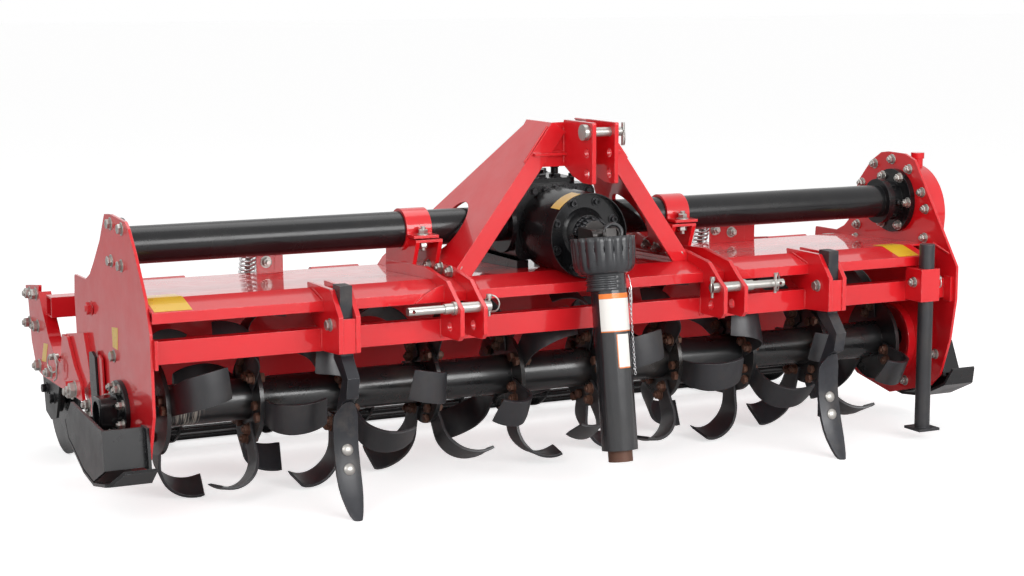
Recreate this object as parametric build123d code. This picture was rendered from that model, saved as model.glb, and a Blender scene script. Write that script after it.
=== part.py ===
# Three-point-hitch rotary tiller with a rear cage roller.
# Millimetres. X runs along the working width, -Y is the tractor side, +Z is up.
# Sizes are set out from the rotor axis (Y = 0) and the floor (Z = 0). On export the
# origin moves to the middle of the footprint.
from build123d import *
import math
import os

os.makedirs("parts", exist_ok=True)

# ---------------------------------------------------------------- driving dimensions
HALF_WIDTH = 1268.0          # outer face of each end plate
PLATE_T = 8.0                # end plate thickness
SEAT = 0.3                   # gap between curved faces that seat on each other
PIN_FIT = 0.05               # radial running fit of pins and axles

ROTOR_Z = 262.0              # rotor axis above the floor
TIP_R = 258.0                # radius swept by the blade tips
ROTOR_TUBE_R = 57.0
ROTOR_TUBE_WALL = 8.0
FLANGE_R = 118.0
FLANGE_T = 12.0
END_DISC_R = 128.0
FLANGE_COUNT = 10
ROTOR_END_GAP = 82.0         # from each end plate to the middle of the outermost flange
AXLE_R = 30.0
BLADE_T = 8.0
BLADE_W = 74.0
BLADE_REACH = 150.0
BLADE_BEND_R = 55.0
BLADE_ROOT_R = 68.0
BLADE_ROOT_W = 56.0
BLADE_SWEEP = 50.0           # how far the blade's tip trails its root
BLADES_PER_SIDE = 3
BLADE_STAGGER = 24.0         # degrees between neighbouring flanges
BLADE_START = 18.0

TUBE_Y = 11.0                # upper cross tube axis
TUBE_Z = 700.0
TUBE_R = 50.8
TUBE_WALL = 6.3
TUBE_FLANGE_R = 74.0
TUBE_FLANGE_T = 12.0
DRIVE_FLANGE_R = 100.0
DRIVE_FLANGE_T = 18.0
DRIVE_COLLARS = ((62.0, 34.0), (70.0, 22.0))   # radius, length, from the flange inwards

BEAM_Y = -251.0              # front face of the front beam
BEAM_DEPTH = 34.0
BEAM_Z = 424.0               # underside
BEAM_H = 60.0
BEAM_WALL = 4.0

HOOD_T = 5.0
HOOD_FRONT_Y = -268.0
HOOD_REAR_Y = 300.0
HOOD_LIP = (532.0, 560.0)    # lower and upper edge of the front lip
HOOD_BEND_Y = -180.0
HOOD_BEND_Z = 584.0
HOOD_REAR_Z = 562.0
HOOD_REAR_DROP = 26.0
HOOD_RETURN = 28.0

GEARBOX_HALF = 128.0
GEARBOX_Y = (-60.0, 190.0)
GEARBOX_Z = (600.0, 812.0)
INPUT_Z = 697.0              # power take-off axis
DRUM_Y = -228.0              # bolted front face of the input drum
GUARD_R = 107.0              # open sheet guard around the drum
GUARD_T = 3.0
GUARD_FRONT = -255.0
DRUM_R = GUARD_R - GUARD_T - SEAT

LUG_X = (378.0, 447.0)       # centre planes of each pair of lower hitch lugs
LUG_T = 12.0
LOWER_PIN_Y = -346.0
LOWER_PIN_Z = 526.5
LOWER_PIN_R = 14.2            # category II between the lugs
LOWER_PIN_END_R = 11.2        # category I outside them
LOWER_PIN_END = 592.0

CLEVIS_X = 35.0
CLEVIS_T = 12.0
TOP_PIN_Y = -320.0
TOP_PIN_Z = 979.0
TOP_PIN_R = 12.7
CLEVIS_PITCH = 57.0          # step between the clevis holes
CLEVIS_HOLES = (TOP_PIN_Z, TOP_PIN_Z - CLEVIS_PITCH, TOP_PIN_Z - 2 * CLEVIS_PITCH)
CLEVIS_TOP = TOP_PIN_Z + 27.0
CROSS_Y = -184.0
CROSS_T = 10.0
CROSS_Z = (TOP_PIN_Z - 103.0, TOP_PIN_Z + 20.0)

MAST_TOP = (80.0, TOP_PIN_Z + 24.0)   # X, Z of each leg's outer face at the top
MAST_FOOT = (385.0, 585.0)   # X, Z of each leg's outer face at the foot
MAST_T = 10.0
MAST_FLANGE_W = 50.0
MAST_FRONT_Y = (-194.0, -178.0)   # front edge at the top and at the foot
MAST_REAR_Y = (-64.0, 300.0)      # rear edge at the top and at the foot
MAST_NOSE = 22.0             # height of the blunt end of the rear edge at the top
MAST_TUBE_GAP = 16.0

SKID_W = 118.0
SKID_T = 8.0

RIPPER_X = 767.0
RIPPER_W = 34.0              # shank across, in its pocket
RIPPER_D = 50.0              # shank front to back, in its pocket
RIPPER_CHEEK_T = 13.0
RIPPER_FRONT = 122.0         # how far the bracket reaches in front of the beam
RIPPER_POINT_W = 69.0

STAND_INSET = 128.0          # from the end plate's outer face to the sleeve's middle
STAND_R = 23.0
STAND_OFF = (4.0, -8.0)      # the leg's axis from the sleeve's middle, X and Y
STAND_FOOT_Z = 31.0

PIVOT_Y = 411.0              # roller arm pivot
PIVOT_Z = 260.0
ROLLER_Y = 700.0
ROLLER_Z = 170.0
ROLLER_R = 170.0
ROLLER_END_GAP = 42.0        # from each arm to the middle of the roller's end disc
ROLLER_BAR_R = 11.0
ROLLER_BARS = 8
ROLLER_RINGS = 9
ARM_GAP = 14.0               # from the end plate's outer face to the arm's inner face
ARM_T = 10.0
ARM_FLANGE = 28.0

HINGE_Y = 322.0              # tailboard hinge
HINGE_Z = 548.0
BOARD_T = 4.0
BOARD_FOOT = (440.0, 227.0)
SPRING_X = 772.0
ROD_LUG = (454.0, 350.0)
ROD_LEAN = 16.3              # degrees forward of upright, going up
ROD_EYE = 302.0              # along the rod from its lug to the eye plate
ROD_R = 8.0
ROD_PIN_R = 6.0
SPRING_R = 27.0
SPRING_WIRE_R = 3.5

SHAFT_Y = -350.0             # universal joint centre
SHAFT_TUBE_R = 34.0
SHAFT_LEAN = 9.0             # degrees forward of hanging straight down
BELL_RIM = -10.0             # along the shaft from the joint's centre
BELL_FOOT = -105.0
FLUTE_COUNT = 20             # grip flutes moulded round the bell
FLUTE_R = 11.0
FLUTE_DEPTH = 2.6
STUB_R = 17.5                # power take-off stub, 1 3/8 inch


# ---------------------------------------------------------------- small helpers
def yz_face(points):
    return make_face(Polyline(*points, close=True))


def side_solid(points, x0, x1, radius=0.0):
    """Extrude a Y-Z outline from x0 to x1, all corners rounded by radius."""
    face = yz_face(points)
    if radius:
        face = fillet(face.vertices(), radius)
    return extrude(Plane.YZ.offset(x0) * face, amount=x1 - x0)


def rod_x(y, z, x0, x1, radius):
    return extrude(Plane.YZ.offset(x0) * (Pos(y, z) * Circle(radius)), amount=x1 - x0)


def pipe_x(y, z, x0, x1, radius, wall):
    ring = Circle(radius) - Circle(radius - wall)
    return extrude(Plane.YZ.offset(x0) * (Pos(y, z) * ring), amount=x1 - x0)


def rod_y(x, z, y0, y1, radius):
    face = Plane.XZ.offset(-y0) * (Pos(x, z) * Circle(radius))
    return extrude(face, amount=-(y1 - y0))


def rod_z(x, y, z0, z1, radius):
    return Pos(x, y, (z0 + z1) / 2) * Cylinder(radius, z1 - z0)


def box(x0, x1, y0, y1, z0, z1):
    return Pos((x0 + x1) / 2, (y0 + y1) / 2, (z0 + z1) / 2) * Box(x1 - x0, y1 - y0, z1 - z0)


def strip(points, thick):
    """Closed outline of a bent sheet: points on one face, the other face to the right."""
    normals = []
    for a, b in zip(points, points[1:]):
        length = math.hypot(b[0] - a[0], b[1] - a[1])
        normals.append(((b[1] - a[1]) / length, -(b[0] - a[0]) / length))
    back = []
    for i, point in enumerate(points):
        n0 = normals[max(i - 1, 0)]
        n1 = normals[min(i, len(normals) - 1)]
        mx, my = n0[0] + n1[0], n0[1] + n1[1]
        scale = 2 * thick / (mx * mx + my * my)
        back.append((point[0] + mx * scale, point[1] + my * scale))
    return list(points) + back[::-1]


def largest(shape):
    return max(shape.solids(), key=lambda s: s.volume)


def mirror_x(shape):
    return mirror(shape, about=Plane.YZ)


def both(shape):
    return {"left": shape, "right": mirror_x(shape)}


PIECES = {}


def save(name, *shapes):
    PIECES[name] = [solid for shape in shapes for solid in shape.solids()]


def export_all():
    """Write every piece, with the origin moved to the middle of the footprint."""
    bounds = [s.bounding_box() for solids in PIECES.values() for s in solids]
    mid_y = (min(b.min.Y for b in bounds) + max(b.max.Y for b in bounds)) / 2
    for name, solids in PIECES.items():
        solids = [Pos(0, -mid_y, 0) * solid for solid in solids]
        item = solids[0] if len(solids) == 1 else Compound(children=solids)
        item.label = name
        export_step(item, f"parts/{name}.step")
        print(f"{name:28s} solids {len(solids)}")
    print(f"rotor axis at Y = {-mid_y:.3f}")


PLATE_IN = HALF_WIDTH - PLATE_T
FLANGE_SPAN = PLATE_IN - ROTOR_END_GAP       # X of the outermost flanges
STAND_X = HALF_WIDTH - STAND_INSET
ARM_X = HALF_WIDTH + ARM_GAP                 # inner face of each roller arm
ROLLER_HALF = ARM_X - ROLLER_END_GAP         # X of the roller's end discs
HOOD_TOP = [
    (HOOD_FRONT_Y, HOOD_LIP[0]),
    (HOOD_FRONT_Y, HOOD_LIP[1]),
    (HOOD_BEND_Y, HOOD_BEND_Z),
    (HOOD_REAR_Y, HOOD_REAR_Z),
]
# the space below the hood's outer face and the beam's own space: whatever stands on
# the hood or the beam is cut back to them
UNDER_HOOD = side_solid(HOOD_TOP + [(HOOD_REAR_Y, HOOD_LIP[0])], -PLATE_IN, PLATE_IN)
BEHIND_BEAM = box(-PLATE_IN, PLATE_IN, BEAM_Y, 700, 0, HOOD_LIP[0])
BEAM_SPACE = box(-PLATE_IN, PLATE_IN, BEAM_Y, BEAM_Y + BEAM_DEPTH, BEAM_Z, BEAM_Z + BEAM_H)

# ---------------------------------------------------------------- end plates
PLATE_OUTLINE = [
    (60, 779), (118, 774), (169, 698), (236, 630), (280, 591), (323, 572), (440, 571),
    (446, 510), (434, 400), (360, 235), (190, 112), (13, 79), (-189, 135), (-236, 178),
    (-278, 295), (-271, 443), (-268, 506), (-233, 591), (-155, 696), (-100, 757), (-70, 773),
]
DRIVE_SHOULDER = [
    (-300, 424), (-300, 524), (-80, 834), (-30, 850), (55, 851), (90, 846), (141, 816),
    (175, 781), (201, 752), (222, 716),
]
AXLE_HOLE_R = 44.0


def end_plates():
    left = side_solid(PLATE_OUTLINE, -HALF_WIDTH, -PLATE_IN, 6)
    left -= rod_x(0, ROTOR_Z, -HALF_WIDTH - 1, -PLATE_IN + 1, AXLE_HOLE_R)
    left -= rod_x(260, 496, -HALF_WIDTH - 1, -PLATE_IN + 1, 13)
    right = side_solid(PLATE_OUTLINE[3:15] + DRIVE_SHOULDER, PLATE_IN, HALF_WIDTH, 6)
    right -= rod_x(0, ROTOR_Z, PLATE_IN - 1, HALF_WIDTH + 1, AXLE_HOLE_R)
    save("end_plate_left", left)
    save("end_plate_right", right)


# ---------------------------------------------------------------- hood and front beam
def hood_and_beam():
    profile = [(HOOD_FRONT_Y + HOOD_RETURN, HOOD_LIP[0])] + HOOD_TOP
    profile.append((HOOD_REAR_Y, HOOD_REAR_Z - HOOD_REAR_DROP))
    hood = side_solid(strip(profile, HOOD_T), -PLATE_IN, PLATE_IN)
    hood -= box(STAND_X + 36, PLATE_IN, HOOD_FRONT_Y - 1, HOOD_BEND_Y, HOOD_LIP[0] - 50, HOOD_BEND_Z)
    save("hood", hood)
    beam = BEAM_SPACE - box(
        -PLATE_IN, PLATE_IN,
        BEAM_Y + BEAM_WALL, BEAM_Y + BEAM_DEPTH - BEAM_WALL,
        BEAM_Z + BEAM_WALL, BEAM_Z + BEAM_H - BEAM_WALL,
    )
    end = box(PLATE_IN - 8, PLATE_IN, BEAM_Y - 34, BEAM_Y, BEAM_Z - 8, BEAM_Z + BEAM_H + 8)
    for flange in both(end).values():
        beam += flange
    save("front_beam", beam)


# ---------------------------------------------------------------- cross tubes and gearbox
SIDE_FLANGE_R = 84.0
SIDE_FLANGE_T = 14.0


def cross_tubes():
    inner = GEARBOX_HALF + SIDE_FLANGE_T
    left = pipe_x(TUBE_Y, TUBE_Z, -PLATE_IN, -inner, TUBE_R, TUBE_WALL)
    left += pipe_x(TUBE_Y, TUBE_Z, -PLATE_IN, -PLATE_IN + TUBE_FLANGE_T, TUBE_FLANGE_R,
                   TUBE_FLANGE_R - TUBE_R + 1)
    left += pipe_x(TUBE_Y, TUBE_Z, -inner, -GEARBOX_HALF, SIDE_FLANGE_R,
                   SIDE_FLANGE_R - TUBE_R + TUBE_WALL)
    right = pipe_x(TUBE_Y, TUBE_Z, inner, PLATE_IN, TUBE_R, TUBE_WALL)
    right += pipe_x(TUBE_Y, TUBE_Z, GEARBOX_HALF, inner, SIDE_FLANGE_R,
                    SIDE_FLANGE_R - TUBE_R + TUBE_WALL)
    right += pipe_x(TUBE_Y, TUBE_Z, PLATE_IN - DRIVE_FLANGE_T, PLATE_IN, DRIVE_FLANGE_R,
                    DRIVE_FLANGE_R - TUBE_R + 1)
    reach = PLATE_IN - DRIVE_FLANGE_T
    for radius, length in DRIVE_COLLARS:
        right += pipe_x(TUBE_Y, TUBE_Z, reach - length, reach, radius, radius - TUBE_R + 1)
        reach -= length
    save("cross_tube_left", left)
    save("cross_tube_right", right)


def gearbox():
    y0, y1 = GEARBOX_Y
    z0, z1 = GEARBOX_Z
    body = box(-GEARBOX_HALF, GEARBOX_HALF, y0, y1, z0, z1)
    body = fillet(body.edges().filter_by(Axis.Y), 26)
    for x in (-88, -44, 0, 44, 88):
        body += box(x - 5, x + 5, y1, y1 + 14, z0 + 30, z1 - 30)
    body += rod_y(0, INPUT_Z, DRUM_Y, y0, DRUM_R)
    nose = Polyline((0, DRUM_Y), (66, DRUM_Y), (58, DRUM_Y - 8), (46, DRUM_Y - 24),
                    (STUB_R + SEAT, DRUM_Y - 24), (STUB_R + SEAT, DRUM_Y - 2), (0, DRUM_Y - 2), close=True)
    nose = revolve(make_face(nose), axis=Axis.Y)
    body += Pos(0, 0, INPUT_Z) * nose
    save("gearbox", body)
    ring = Circle(GUARD_R) - Circle(GUARD_R - GUARD_T)
    guard = extrude(Plane.XZ.offset(-GUARD_FRONT) * (Pos(0, INPUT_Z) * ring), amount=GUARD_FRONT - y0)
    save("input_guard_ring", guard)
    cover = box(-84, 84, y0 + 25, y1 - 30, z1, z1 + 16)
    cover = fillet(cover.edges().filter_by(Axis.Z), 22)
    cover += rod_z(0, 60, z1 + 16, z1 + 34, 24)
    save("gearbox_cover", cover)
    rails = []
    for side in (-1, 1):
        x = side * 110
        rails.append(box(x - 18, x + 18, y0 - 10, y1 + 60, 540, z0) - UNDER_HOOD)
    save("gearbox_seat", *rails)


def input_yoke():
    shaft = rod_y(0, INPUT_Z, -282, DRUM_Y - 2, STUB_R)
    fork = rod_y(0, INPUT_Z, -292, -282, 34)
    for side in (-1, 1):
        x = side * 40
        ear = box(x - 7, x + 7, SHAFT_Y, -282, INPUT_Z - 18, INPUT_Z + 18)
        fork += ear + rod_x(SHAFT_Y, INPUT_Z, x - 7, x + 7, 18)
    save("input_yoke", shaft + fork)


# ---------------------------------------------------------------- mast
def mast_plane():
    top_x, top_z = MAST_TOP
    foot_x, foot_z = MAST_FOOT
    length = math.hypot(top_x - foot_x, top_z - foot_z)
    along = Vector((top_x - foot_x) / length, 0, (top_z - foot_z) / length)
    normal = Vector(along.Z, 0, -along.X)
    return Plane(origin=(foot_x, 0, foot_z), x_dir=along, z_dir=normal), length


def mast_leg():
    plane, length = mast_plane()
    sign = 1 if plane.y_dir.Y > 0 else -1
    front_top, front_foot = MAST_FRONT_Y
    rear_top, rear_foot = MAST_REAR_Y
    below = -60.0
    outline = [
        (below, sign * front_foot), (0, sign * front_foot), (length, sign * front_top),
        (length, sign * (rear_top + 26)), (length - MAST_NOSE, sign * (rear_top + 22)),
        (0, sign * rear_foot), (below, sign * rear_foot),
    ]
    plate = extrude(plane * make_face(Polyline(*outline, close=True)), amount=-MAST_T)
    flange_outline = [
        (0, sign * front_foot), (length, sign * front_top),
        (length, sign * (front_top + 10)), (0, sign * (front_foot + 10)),
    ]
    leg = plate + extrude(plane * make_face(Polyline(*flange_outline, close=True)),
                          amount=-MAST_FLANGE_W)
    leg -= rod_x(TUBE_Y, TUBE_Z, 0, PLATE_IN, TUBE_R + MAST_TUBE_GAP)
    leg -= UNDER_HOOD + BEHIND_BEAM
    leg -= box(0, PLATE_IN, -400, 400, MAST_TOP[1] - 4, MAST_TOP[1] + 80)
    leg -= box(LUG_X[0] - LUG_T / 2, PLATE_IN, -400, LUG_REAR_Y, 300, 900)
    return largest(leg)


def mast_middle(z):
    """X of the middle of a leg's thickness at height z."""
    slope = (MAST_FOOT[0] - MAST_TOP[0]) / (MAST_TOP[1] - MAST_FOOT[1])
    return MAST_TOP[0] + (MAST_TOP[1] - z) * slope - MAST_T / 2 * math.hypot(1, slope)


def mast():
    leg = mast_leg()
    legs = both(leg)
    save("mast_legs", *legs.values())
    low, high = CROSS_Z
    wide, narrow = mast_middle(low), mast_middle(high)
    outline = [(-wide, low), (wide, low), (narrow, high), (-narrow, high)]
    cross = extrude(Plane.XZ.offset(-CROSS_Y) * make_face(Polyline(*outline, close=True)),
                    amount=-CROSS_T)
    rib_z = CROSS_Z[0] + 36
    rib = mast_middle(rib_z)
    cross += box(-rib, rib, CROSS_Y - 20, CROSS_Y, rib_z - 4, rib_z + 4)
    for shape in legs.values():
        cross -= shape
    cross = largest(cross)
    save("mast_cross_plate", cross)
    side = [
        (CROSS_Y, CLEVIS_TOP), (CROSS_Y, CROSS_Z[0] + 4), (TOP_PIN_Y + 82, CLEVIS_HOLES[2] - 12),
        (TOP_PIN_Y + 24, CLEVIS_HOLES[2] - 27), (TOP_PIN_Y - 30, CLEVIS_HOLES[2] - 27),
        (TOP_PIN_Y - 30, CLEVIS_TOP),
    ]
    cheeks = []
    for sign in (-1, 1):
        x = sign * CLEVIS_X
        cheek = side_solid(side, x - CLEVIS_T / 2, x + CLEVIS_T / 2, 5)
        for z in CLEVIS_HOLES:
            cheek -= rod_x(TOP_PIN_Y, z, x - 20, x + 20, TOP_PIN_R + PIN_FIT)
        cheeks.append(cheek - cross - legs["left"] - legs["right"])
    save("top_link_clevis", *cheeks)
    edge = CLEVIS_X + CLEVIS_T / 2
    pin = rod_x(TOP_PIN_Y, TOP_PIN_Z, -edge - 8, edge + 22, TOP_PIN_R)
    pin += rod_x(TOP_PIN_Y, TOP_PIN_Z, -edge - 16, -edge - SEAT, 22)
    save("top_link_pin", pin)


# ---------------------------------------------------------------- lower hitch
LUG_REAR_Y = 118.0
LUG_OUTLINE = [
    (-378, 455), (-378, 528), (-342, 551), (-290, 592), (-150, 614), (LUG_REAR_Y, 602),
    (LUG_REAR_Y, 520), (-240, 440), (-362, 440),
]
CLAMP_X = (383.0, 459.0)
CLAMP_T = 8.0
CLAMP_EAR = 46.0
CLAMP_DROP = 8.0             # how far the ears sit below the tube axis
CLAMP_GAP = 4.0


def lower_hitch():
    plates = []
    for x in LUG_X:
        plate = side_solid(LUG_OUTLINE, x - LUG_T / 2, x + LUG_T / 2, 5)
        plate -= rod_x(LOWER_PIN_Y, LOWER_PIN_Z, x - 20, x + 20, LOWER_PIN_R + PIN_FIT)
        plate -= rod_x(-312, 471, x - 20, x + 20, LOWER_PIN_R + PIN_FIT)
        plate -= UNDER_HOOD + BEHIND_BEAM
        plate = largest(plate)
        plates.append(plate)
    edge = LUG_X[1] + LUG_T / 2
    ear = Polyline((edge, 534), (edge + 84, 534), (edge + 52, 560), (edge + 24, 574), (edge, 580),
                   close=True)
    ear = extrude(Plane.XZ.offset(-HOOD_FRONT_Y) * make_face(ear), amount=8)
    plates[-1] += ear
    sides = both(Compound(children=plates))
    save("lower_hitch_lugs", *sides.values())
    outer = LUG_X[1] + LUG_T / 2
    pin = rod_x(LOWER_PIN_Y, LOWER_PIN_Z, LUG_X[0] - 28, outer + 34, LOWER_PIN_R)
    pin += rod_x(LOWER_PIN_Y, LOWER_PIN_Z, outer + 34, LOWER_PIN_END, LOWER_PIN_END_R)
    pin += rod_x(LOWER_PIN_Y, LOWER_PIN_Z, outer, outer + 8, LOWER_PIN_R + 4)
    pin -= rod_y(LOWER_PIN_END - 14, LOWER_PIN_Z, LOWER_PIN_Y - 20, LOWER_PIN_Y + 20, 5)
    pins = both(pin)
    save("lower_link_pins", *pins.values())


def tube_clamps():
    x0, x1 = CLAMP_X
    inner = TUBE_R + SEAT
    outer = inner + CLAMP_T
    half = outer + CLAMP_EAR
    ear_z = TUBE_Z - CLAMP_DROP
    low_z = ear_z - CLAMP_T - CLAMP_GAP
    clamp = pipe_x(TUBE_Y, TUBE_Z, x0, x1, outer, CLAMP_T)
    for side in (-1, 1):
        y0, y1 = sorted((TUBE_Y + side * (outer - 3), TUBE_Y + side * half))
        clamp += box(x0, x1, y0, y1, ear_z - CLAMP_T, ear_z)
        clamp += box(LUG_X[0] - LUG_T / 2, LUG_X[1] + LUG_T / 2, y0, y1, low_z - CLAMP_T, low_z)
    for x in LUG_X:
        lug = side_solid(LUG_OUTLINE, x - LUG_T / 2, x + LUG_T / 2)
        leg = side_solid(
            [(TUBE_Y - half, low_z - CLAMP_T), (TUBE_Y - half, low_z),
             (TUBE_Y + half, low_z), (TUBE_Y + half, 540), (TUBE_Y - half + 30, 540),
             (TUBE_Y - half + 30, 600)], x - LUG_T / 2, x + LUG_T / 2)
        clamp += leg - lug
    clamp -= rod_x(TUBE_Y, TUBE_Z, 300, 500, inner)
    clamp -= UNDER_HOOD
    clamp = largest(clamp)
    save("tube_clamps", *both(clamp).values())


# ---------------------------------------------------------------- side drive and bearings
CASE_T = 72.0
CASE_TOP_Z = 662.0           # centre of the case's round top
CASE_TOP_R = 150.0
CASE_FOOT_R = 100.0


def side_drive():
    head = Pos(TUBE_Y, CASE_TOP_Z) * Circle(CASE_TOP_R)
    foot = Pos(0, ROTOR_Z) * Circle(CASE_FOOT_R)
    middle = make_face(Polyline(
        (TUBE_Y - CASE_TOP_R, CASE_TOP_Z), (-CASE_FOOT_R, ROTOR_Z),
        (CASE_FOOT_R, ROTOR_Z), (TUBE_Y + CASE_TOP_R, CASE_TOP_Z), close=True))
    case = extrude(Plane.YZ.offset(HALF_WIDTH) * (head + middle + foot), amount=CASE_T)
    case -= rod_x(0, ROTOR_Z, HALF_WIDTH - 1, HALF_WIDTH + 40, AXLE_R + PIN_FIT)
    save("side_drive_case", case)
    cap_x, cap_y = HALF_WIDTH + 50, TUBE_Y - 32
    top = CASE_TOP_Z + CASE_TOP_R
    cap = rod_z(cap_x, cap_y, top - 20, top + 20, 17) + rod_z(cap_x, cap_y, top + 20, top + 39, 21)
    cap -= case
    cap = largest(cap)
    save("filler_cap", cap)
    hub = rod_x(0, ROTOR_Z, -HALF_WIDTH - 14, -HALF_WIDTH, 82)
    hub += rod_x(0, ROTOR_Z, -HALF_WIDTH - 70, -HALF_WIDTH - 14, 50)
    hub -= rod_x(0, ROTOR_Z, -HALF_WIDTH - 71, -HALF_WIDTH + 1, AXLE_R + PIN_FIT)
    save("rotor_bearing_left", hub)
    ring = pipe_x(0, ROTOR_Z, PLATE_IN - 26, PLATE_IN, 112, 10)
    save("rotor_guard_rings", *both(ring).values())


# ---------------------------------------------------------------- rotor
def rotor():
    tube = pipe_x(0, ROTOR_Z, -FLANGE_SPAN, FLANGE_SPAN, ROTOR_TUBE_R, ROTOR_TUBE_WALL)
    pitch = 2 * FLANGE_SPAN / (FLANGE_COUNT - 1)
    for k in range(FLANGE_COUNT):
        x = -FLANGE_SPAN + k * pitch
        end = k in (0, FLANGE_COUNT - 1)
        radius = END_DISC_R if end else FLANGE_R
        tube += pipe_x(0, ROTOR_Z, x - FLANGE_T / 2, x + FLANGE_T / 2, radius,
                       radius - ROTOR_TUBE_R + ROTOR_TUBE_WALL)
    for side in (-1, 1):
        x_in = side * (FLANGE_SPAN - 20)
        x_hub = side * (FLANGE_SPAN + FLANGE_T / 2)
        x_out = side * (HALF_WIDTH + 38)
        lo, hi = sorted((x_in, x_hub))
        tube += rod_x(0, ROTOR_Z, lo, hi, ROTOR_TUBE_R - ROTOR_TUBE_WALL)
        lo, hi = sorted((x_hub, x_out))
        tube += rod_x(0, ROTOR_Z, lo, hi, AXLE_R)
    save("rotor_shaft", tube)
    for hand, side in (("left", -1), ("right", 1)):
        blades = []
        for k in range(FLANGE_COUNT):
            x = -FLANGE_SPAN + k * pitch
            if (k == 0 and side < 0) or (k == FLANGE_COUNT - 1 and side > 0):
                continue
            for i in range(BLADES_PER_SIDE):
                turn = BLADE_START + k * BLADE_STAGGER + i * 120 + (60 if side > 0 else 0)
                blade = blade_shape(side)
                place = Pos(x + side * FLANGE_T / 2, 0, ROTOR_Z) * Rot(turn, 0, 0)
                blades.append(place * blade)
        save(f"rotor_blades_{hand}", *blades)


def blade_shape(side):
    """One swept blade, its root flat on the flange face x = 0, pointing along +Z."""
    sweep = BLADE_SWEEP + BLADE_W / 2
    crown = math.sqrt(TIP_R ** 2 - sweep ** 2)
    centre = (BLADE_BEND_R, crown - BLADE_BEND_R)
    web = Polyline(
        (BLADE_T, centre[1]), (BLADE_T, BLADE_ROOT_R), (0, BLADE_ROOT_R), (0, centre[1]))
    bend = CenterArc(centre, BLADE_BEND_R, 90, 90)
    reach = Polyline((centre[0], crown), (BLADE_REACH, crown), (BLADE_REACH, crown - BLADE_T),
                     (centre[0], crown - BLADE_T))
    inner = CenterArc(centre, BLADE_BEND_R - BLADE_T, 90, 90)
    sheet = extrude(Plane.XZ * make_face(web + bend + reach + inner), amount=140, both=True)
    low, high = BLADE_ROOT_R - 2, crown + 2
    mid = (low + high) / 2
    root = BLADE_ROOT_W / 2
    back = ThreePointArc((root, low), (root + 12, mid), (sweep, high))
    front = ThreePointArc((sweep - BLADE_W, high), (BLADE_SWEEP / 2 - 42, mid + 20), (-root, low))
    side_view = make_face(back + Line((sweep, high), (sweep - BLADE_W, high)) + front
                          + Line((-root, low), (root, low)))
    blade = sheet & extrude(Plane.YZ * side_view, amount=BLADE_REACH + 10)
    return blade if side > 0 else mirror_x(blade)


# ---------------------------------------------------------------- skids
SKID_SOLE = [                # underside, rear to front
    (138, 224), (103, 177), (55, 160), (-40, 121), (-133, 107), (-254, 129), (-304, 170),
]
SKID_SIDE = [                # side wall above the sole
    (70, 283), (-222, 261), (-240, 160), (-133, 112), (-40, 126), (55, 165), (100, 181),
    (132, 224),
]
# side, how far the side wall stands in from the sole's edge, nose-up turn about the toe bolt
SKID_TABLE = (("left", 0.0, 0.0), ("right", 37.0, 15.0))
SKID_TURN_AT = (-160.0, 110.0)


def skids():
    outer = HALF_WIDTH + SKID_W
    turn_y, turn_z = SKID_TURN_AT
    pieces = []
    for name, inset, turn in SKID_TABLE:
        sole = side_solid(strip(SKID_SOLE, -SKID_T), HALF_WIDTH, outer)
        corner = Polyline((outer + 1, -240), (outer + 1, -320), (outer - 40, -320), close=True)
        sole -= extrude(make_face(corner), amount=400)
        wall = outer - inset
        side = side_solid(SKID_SIDE, wall - SKID_T, wall)
        front = side_solid([(-222, 261), (-240, 160), (-232, 160), (-214, 261)], HALF_WIDTH, wall)
        tab = side_solid([(-262, 150), (-244, 262), (-196, 262), (-186, 160)],
                         HALF_WIDTH, HALF_WIDTH + SKID_T)
        shoe = sole + (side + front + tab)
        place = Pos(0, turn_y, turn_z) * Rot(-turn, 0, 0) * Pos(0, -turn_y, -turn_z)
        turned = place * shoe
        pieces.append(mirror_x(turned) if name == "left" else turned)
    save("skids", *pieces)


# ---------------------------------------------------------------- rippers
SHANK_OUTLINE = [            # below the pocket, front then back
    (-350, 425), (-396, 372), (-385, 318), (-358, 304), (-329, 258), (-329, 110),
    (-310, 110), (-310, 268), (-338, 322), (-358, 366), (-300, 412),
]
SHARE_OUTLINE = [
    (-368, 304), (-341, 262), (-341, 190), (-375, 80), (-425, 0), (-412, 0), (-359, 86),
    (-329, 190), (-329, 258), (-358, 304),
]


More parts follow.
